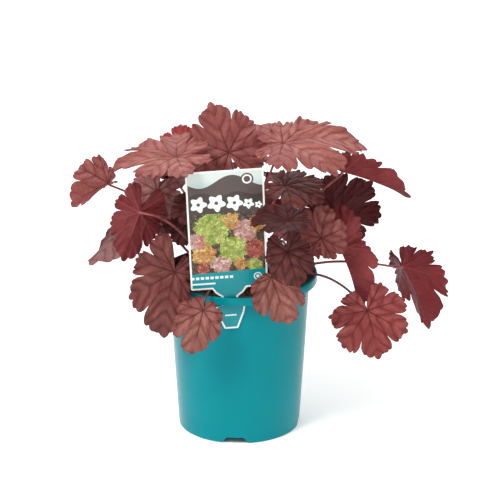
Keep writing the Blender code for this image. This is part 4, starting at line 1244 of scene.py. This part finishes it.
def print_material():
    """The label's printed face: hills, a band of white shapes, a planting and a foot."""
    made = Nodes("label_print")
    x, y, _ = made.attribute("sheet")
    spot = made.put("CombineXYZ", {0: x, 1: y})
    ink, paper = srgb(88, 76, 72), srgb(234, 240, 236)

    def band(low, high):
        return (y > low) * (y < high)

    def wave(step, start, rise):
        return made.math("SINE", x * step + start) * rise

    def distance(point, middle_x, middle_y):
        return made.put("VectorMath", {0: point, 1: (middle_x, middle_y, 0)}, "Value",
                        operation="DISTANCE")

    sun = distance(spot, 19, 109)
    coats = [(made.ramp(y, 96, 112), srgb(210, 220, 214)),
             (y < wave(0.115, 0.9, 5.4) + 108.2, ink),
             (y < wave(0.2, -0.4, 1.8) + 96.5, srgb(70, 60, 57)),
             (sun < 5.6, ink), (sun < 4.2, paper), (sun < 2.8, ink)]
    for middle_x, middle_y, reach, turn in WHITE_SHAPES:
        bearing = made.math("ARCTAN2", y - middle_y, x - middle_x)
        edge = made.math("COSINE", bearing * 5 + turn) * (0.17 * reach) + 0.83 * reach
        away = distance(spot, middle_x, middle_y)
        coats += [(away < edge, paper), (away < 0.2 * reach, ink)]

    moved = made.put("VectorMath", {0: made.noise(spot, 0.28, 5, 0.7, "Color"),
                                    1: (CLUMP_JITTER, CLUMP_JITTER, 0), 2: spot},
                     operation="MULTIPLY_ADD")
    leafy = made.put("TexVoronoi", {"Vector": moved, "Scale": 0.4}, "Distance")
    tone = made.put("SeparateColor", {0: leafy.beside("Color")})
    shades = {name: made.mix(tone, srgb(*dark), srgb(*pale))
              for name, (dark, pale) in CLUMP_COLOURS.items()}
    clumps = [(distance(moved, middle_x + CLUMP_MOVE, middle_y + CLUMP_MOVE) < reach, shades[name])
              for middle_x, middle_y, reach, name in CLUMPS]
    sprig = made.put("TexVoronoi", {"Vector": moved, "Scale": 0.85}, "Distance",
                     feature="SMOOTH_F1")
    planting = made.layers(srgb(40, 32, 24), (tone.beside(1), srgb(96, 74, 50)), *clumps,
                           (made.ramp(leafy, 0.08, 0.55) * 0.58, srgb(44, 30, 18)),
                           (made.ramp(sprig, 0.45, 0.66) * 0.3, srgb(56, 40, 26)),
                           ((1 - made.ramp(sprig, 0.1, 0.3)) * 0.35, srgb(255, 250, 226)))

    ring = distance(spot, 25, 18.4)
    dash = (made.off_middle(x / 4.2) < 0.34) * (x < 4)
    coats += [(y < 79, planting), (y < x * 0.03 + 24.5, srgb(0, 140, 148)),
              ((ring < 3.6) * (ring > 2.6), paper), (ring < 1.4, paper),
              (dash * band(18.2, 20.6) + (x < -12) * band(13.2, 14.8), paper),
              ((made.math("ABSOLUTE", x) < 5) * band(-17.8, -16.6), paper)]
    grain = made.noise(made.place(), 2600, 2)
    return made.finish(made.layers(srgb(154, 198, 194), *coats), grain * 0.12 + 0.3, grain,
                       0.02 * MM, Coat_Weight=0.15, Specular_IOR_Level=0.25)


def sheet_material():
    """The label's bare white plastic."""
    made = Nodes("label_white")
    grain = made.noise(made.place(), 1800, 3)
    return made.finish(made.mix(grain, srgb(232, 236, 230), srgb(244, 246, 242)),
                       grain * 0.15 + 0.28, grain, 0.03 * MM)


def border_of(start, end):
    """Width of the white border along one side: all but none under the rim, at the tail's top."""
    top, foot = LABEL_TAIL_TOP, LABEL_TAIL_TOP - LABEL_TAIL_CHAMFER
    beneath = foot - LEAST_BORDER < min(start.y, end.y) and max(start.y, end.y) < top + LEAST_BORDER
    return LEAST_BORDER if beneath else LABEL_BORDER


def drawn_in(outline):
    """A flat outline, listed clockwise, with every side moved inwards by its border."""
    moved = []
    for index, corner in enumerate(outline):
        last, following = outline[index - 1], outline[(index + 1) % len(outline)]
        before, after = (corner - last).normalized(), (following - corner).normalized()
        first, second = Vector((before.y, -before.x)), Vector((after.y, -after.x))
        near, far = border_of(last, corner), border_of(corner, following)
        turn = first.dot(second)
        shift = first * (near - far * turn) + second * (far - near * turn)
        moved.append(corner + shift / (1 - turn ** 2))
    return moved


def eased(outline, most):
    """A closed outline with its corners rounded off."""
    points = []
    for index, corner in enumerate(outline):
        following = outline[(index + 1) % len(outline)]
        points += fillet(outline[index - 1], corner, following, most, 0.3)
    return points


def add_fine_label():
    """The label: a thin sheet with rounded corners, printed inside a white border."""
    sharp = [Vector(point) for point in label_outline()]
    edge, printed = eased(sharp, LABEL_CORNER), eased(drawn_in(sharp), PRINT_CORNER)
    held = bmesh.new()
    half = LABEL_THICK / 2
    rings = [[held.verts.new((point.x, point.y, z)) for point in ring]
             for ring, z in ((edge, -half), (edge, half), (printed, half))]
    for face in bridged(rings[0], rings[1]) + bridged(rings[1], rings[2]):
        held.faces.new(face)
    held.faces.new(rings[0])
    held.faces.new(rings[2]).material_index = 1
    bmesh.ops.recalc_face_normals(held, faces=held.faces)
    label = object_of("label_fine", held, (sheet_material(), print_material()))
    mesh = label.data
    hold_vectors(mesh, "sheet", [vert.co / MM for vert in mesh.vertices])
    mesh.transform(label_place())
    mesh.shade_flat()
    dress(label, "label")


# The studio: each lamp's place, size and power, and the camera that the photo was solved for
LAMPS = {"key": ((-1.0, -1.1, 1.9), 0.8, 38), "fill": ((1.3, -0.9, 1.0), 1.1, 2.2),
         "back": ((0.1, 1.4, 1.5), 1.6, 14)}
LAMP_AIM = Vector((0, 0, 0.16))
WORLD_STRENGTH = 0.57
CAMERA_AT = (0.0007, -1.879, 0.828)
CAMERA_DIP = 19.2
CAMERA_LENS = 167.2
CAMERA_SENSOR = 36


def floor_material():
    """Pale paper that glows a little to stay evenly white, with its glow left out under the pot as a
    painted shadow.
    """
    made = Nodes("floor")
    where = made.place()
    away = made.put("VectorMath", {0: where}, "Value", operation="LENGTH")
    # painted shadow: the glow fades out towards the pot's foot, so the floor under the pot is darker
    beside = made.ramp(away, WALL_FOOT_RADIUS - 4 * MM, WALL_FOOT_RADIUS)
    colour = made.mix(made.noise(where, 6, 2) * 0.1, srgb(252, 252, 252), srgb(246, 246, 246))
    return made.finish(colour, 0.9, Emission_Color=(1, 1, 1, 1),
                       Emission_Strength=beside * FLOOR_GLOW)


def add_stage():
    """Pale floor, soft lights and the camera."""
    held = bmesh.new()
    bmesh.ops.create_grid(held, x_segments=2, y_segments=2, size=6)
    floor = object_of("floor", held, (floor_material(),))
    floor.location.z = -GAP
    world = bpy.data.worlds.new("studio")
    world.use_nodes = True
    world.node_tree.nodes["Background"].inputs["Color"].default_value = (1, 1, 1, 1)
    world.node_tree.nodes["Background"].inputs["Strength"].default_value = WORLD_STRENGTH
    scene = bpy.context.scene
    scene.world = world
    for name, (at, size, power) in LAMPS.items():
        lamp = bpy.data.lights.new(name, "AREA")
        lamp.size = size
        lamp.energy = power
        light = bpy.data.objects.new(name, lamp)
        light.location = at
        light.rotation_euler = (LAMP_AIM - Vector(at)).to_track_quat("-Z", "Y").to_euler()
        bpy.context.collection.objects.link(light)
    lens = bpy.data.cameras.new("camera")
    lens.lens = CAMERA_LENS
    lens.sensor_width = CAMERA_SENSOR
    camera = bpy.data.objects.new("camera", lens)
    camera.location = CAMERA_AT
    camera.rotation_euler = (math.radians(90 - CAMERA_DIP), 0, 0)
    bpy.context.collection.objects.link(camera)
    scene.camera = camera
    scene.view_settings.view_transform = "Standard"


def dress_plant():
    """Every piece of the plant over its solid."""
    rows = FRONT_LEAVES + back_leaves()
    roots = root_directions(rows)
    settled(rows, roots)
    looks = {name: leaf_material("leaf_" + name, *(srgb(*colour) for colour in colours))
             for name, colours in LOOKS.items()}
    pink = stalk_material("stalk_pink", srgb(172, 84, 82), srgb(122, 52, 54))
    dark = stalk_material("stalk_dark", srgb(108, 58, 54), srgb(66, 34, 32))
    for index, (row, root) in enumerate(zip(rows, roots)):
        look = LOOK_OF.get(row["name"], BACK_LOOKS[index % len(BACK_LOOKS)])
        add_fine_leaf(row, root, looks[look], dark if row["name"] in DARK_STALKS else pink)
    add_fine_pot()
    add_fine_soil()
    add_fine_crown(roots)
    add_fine_label()


add_stage()
dress_plant()
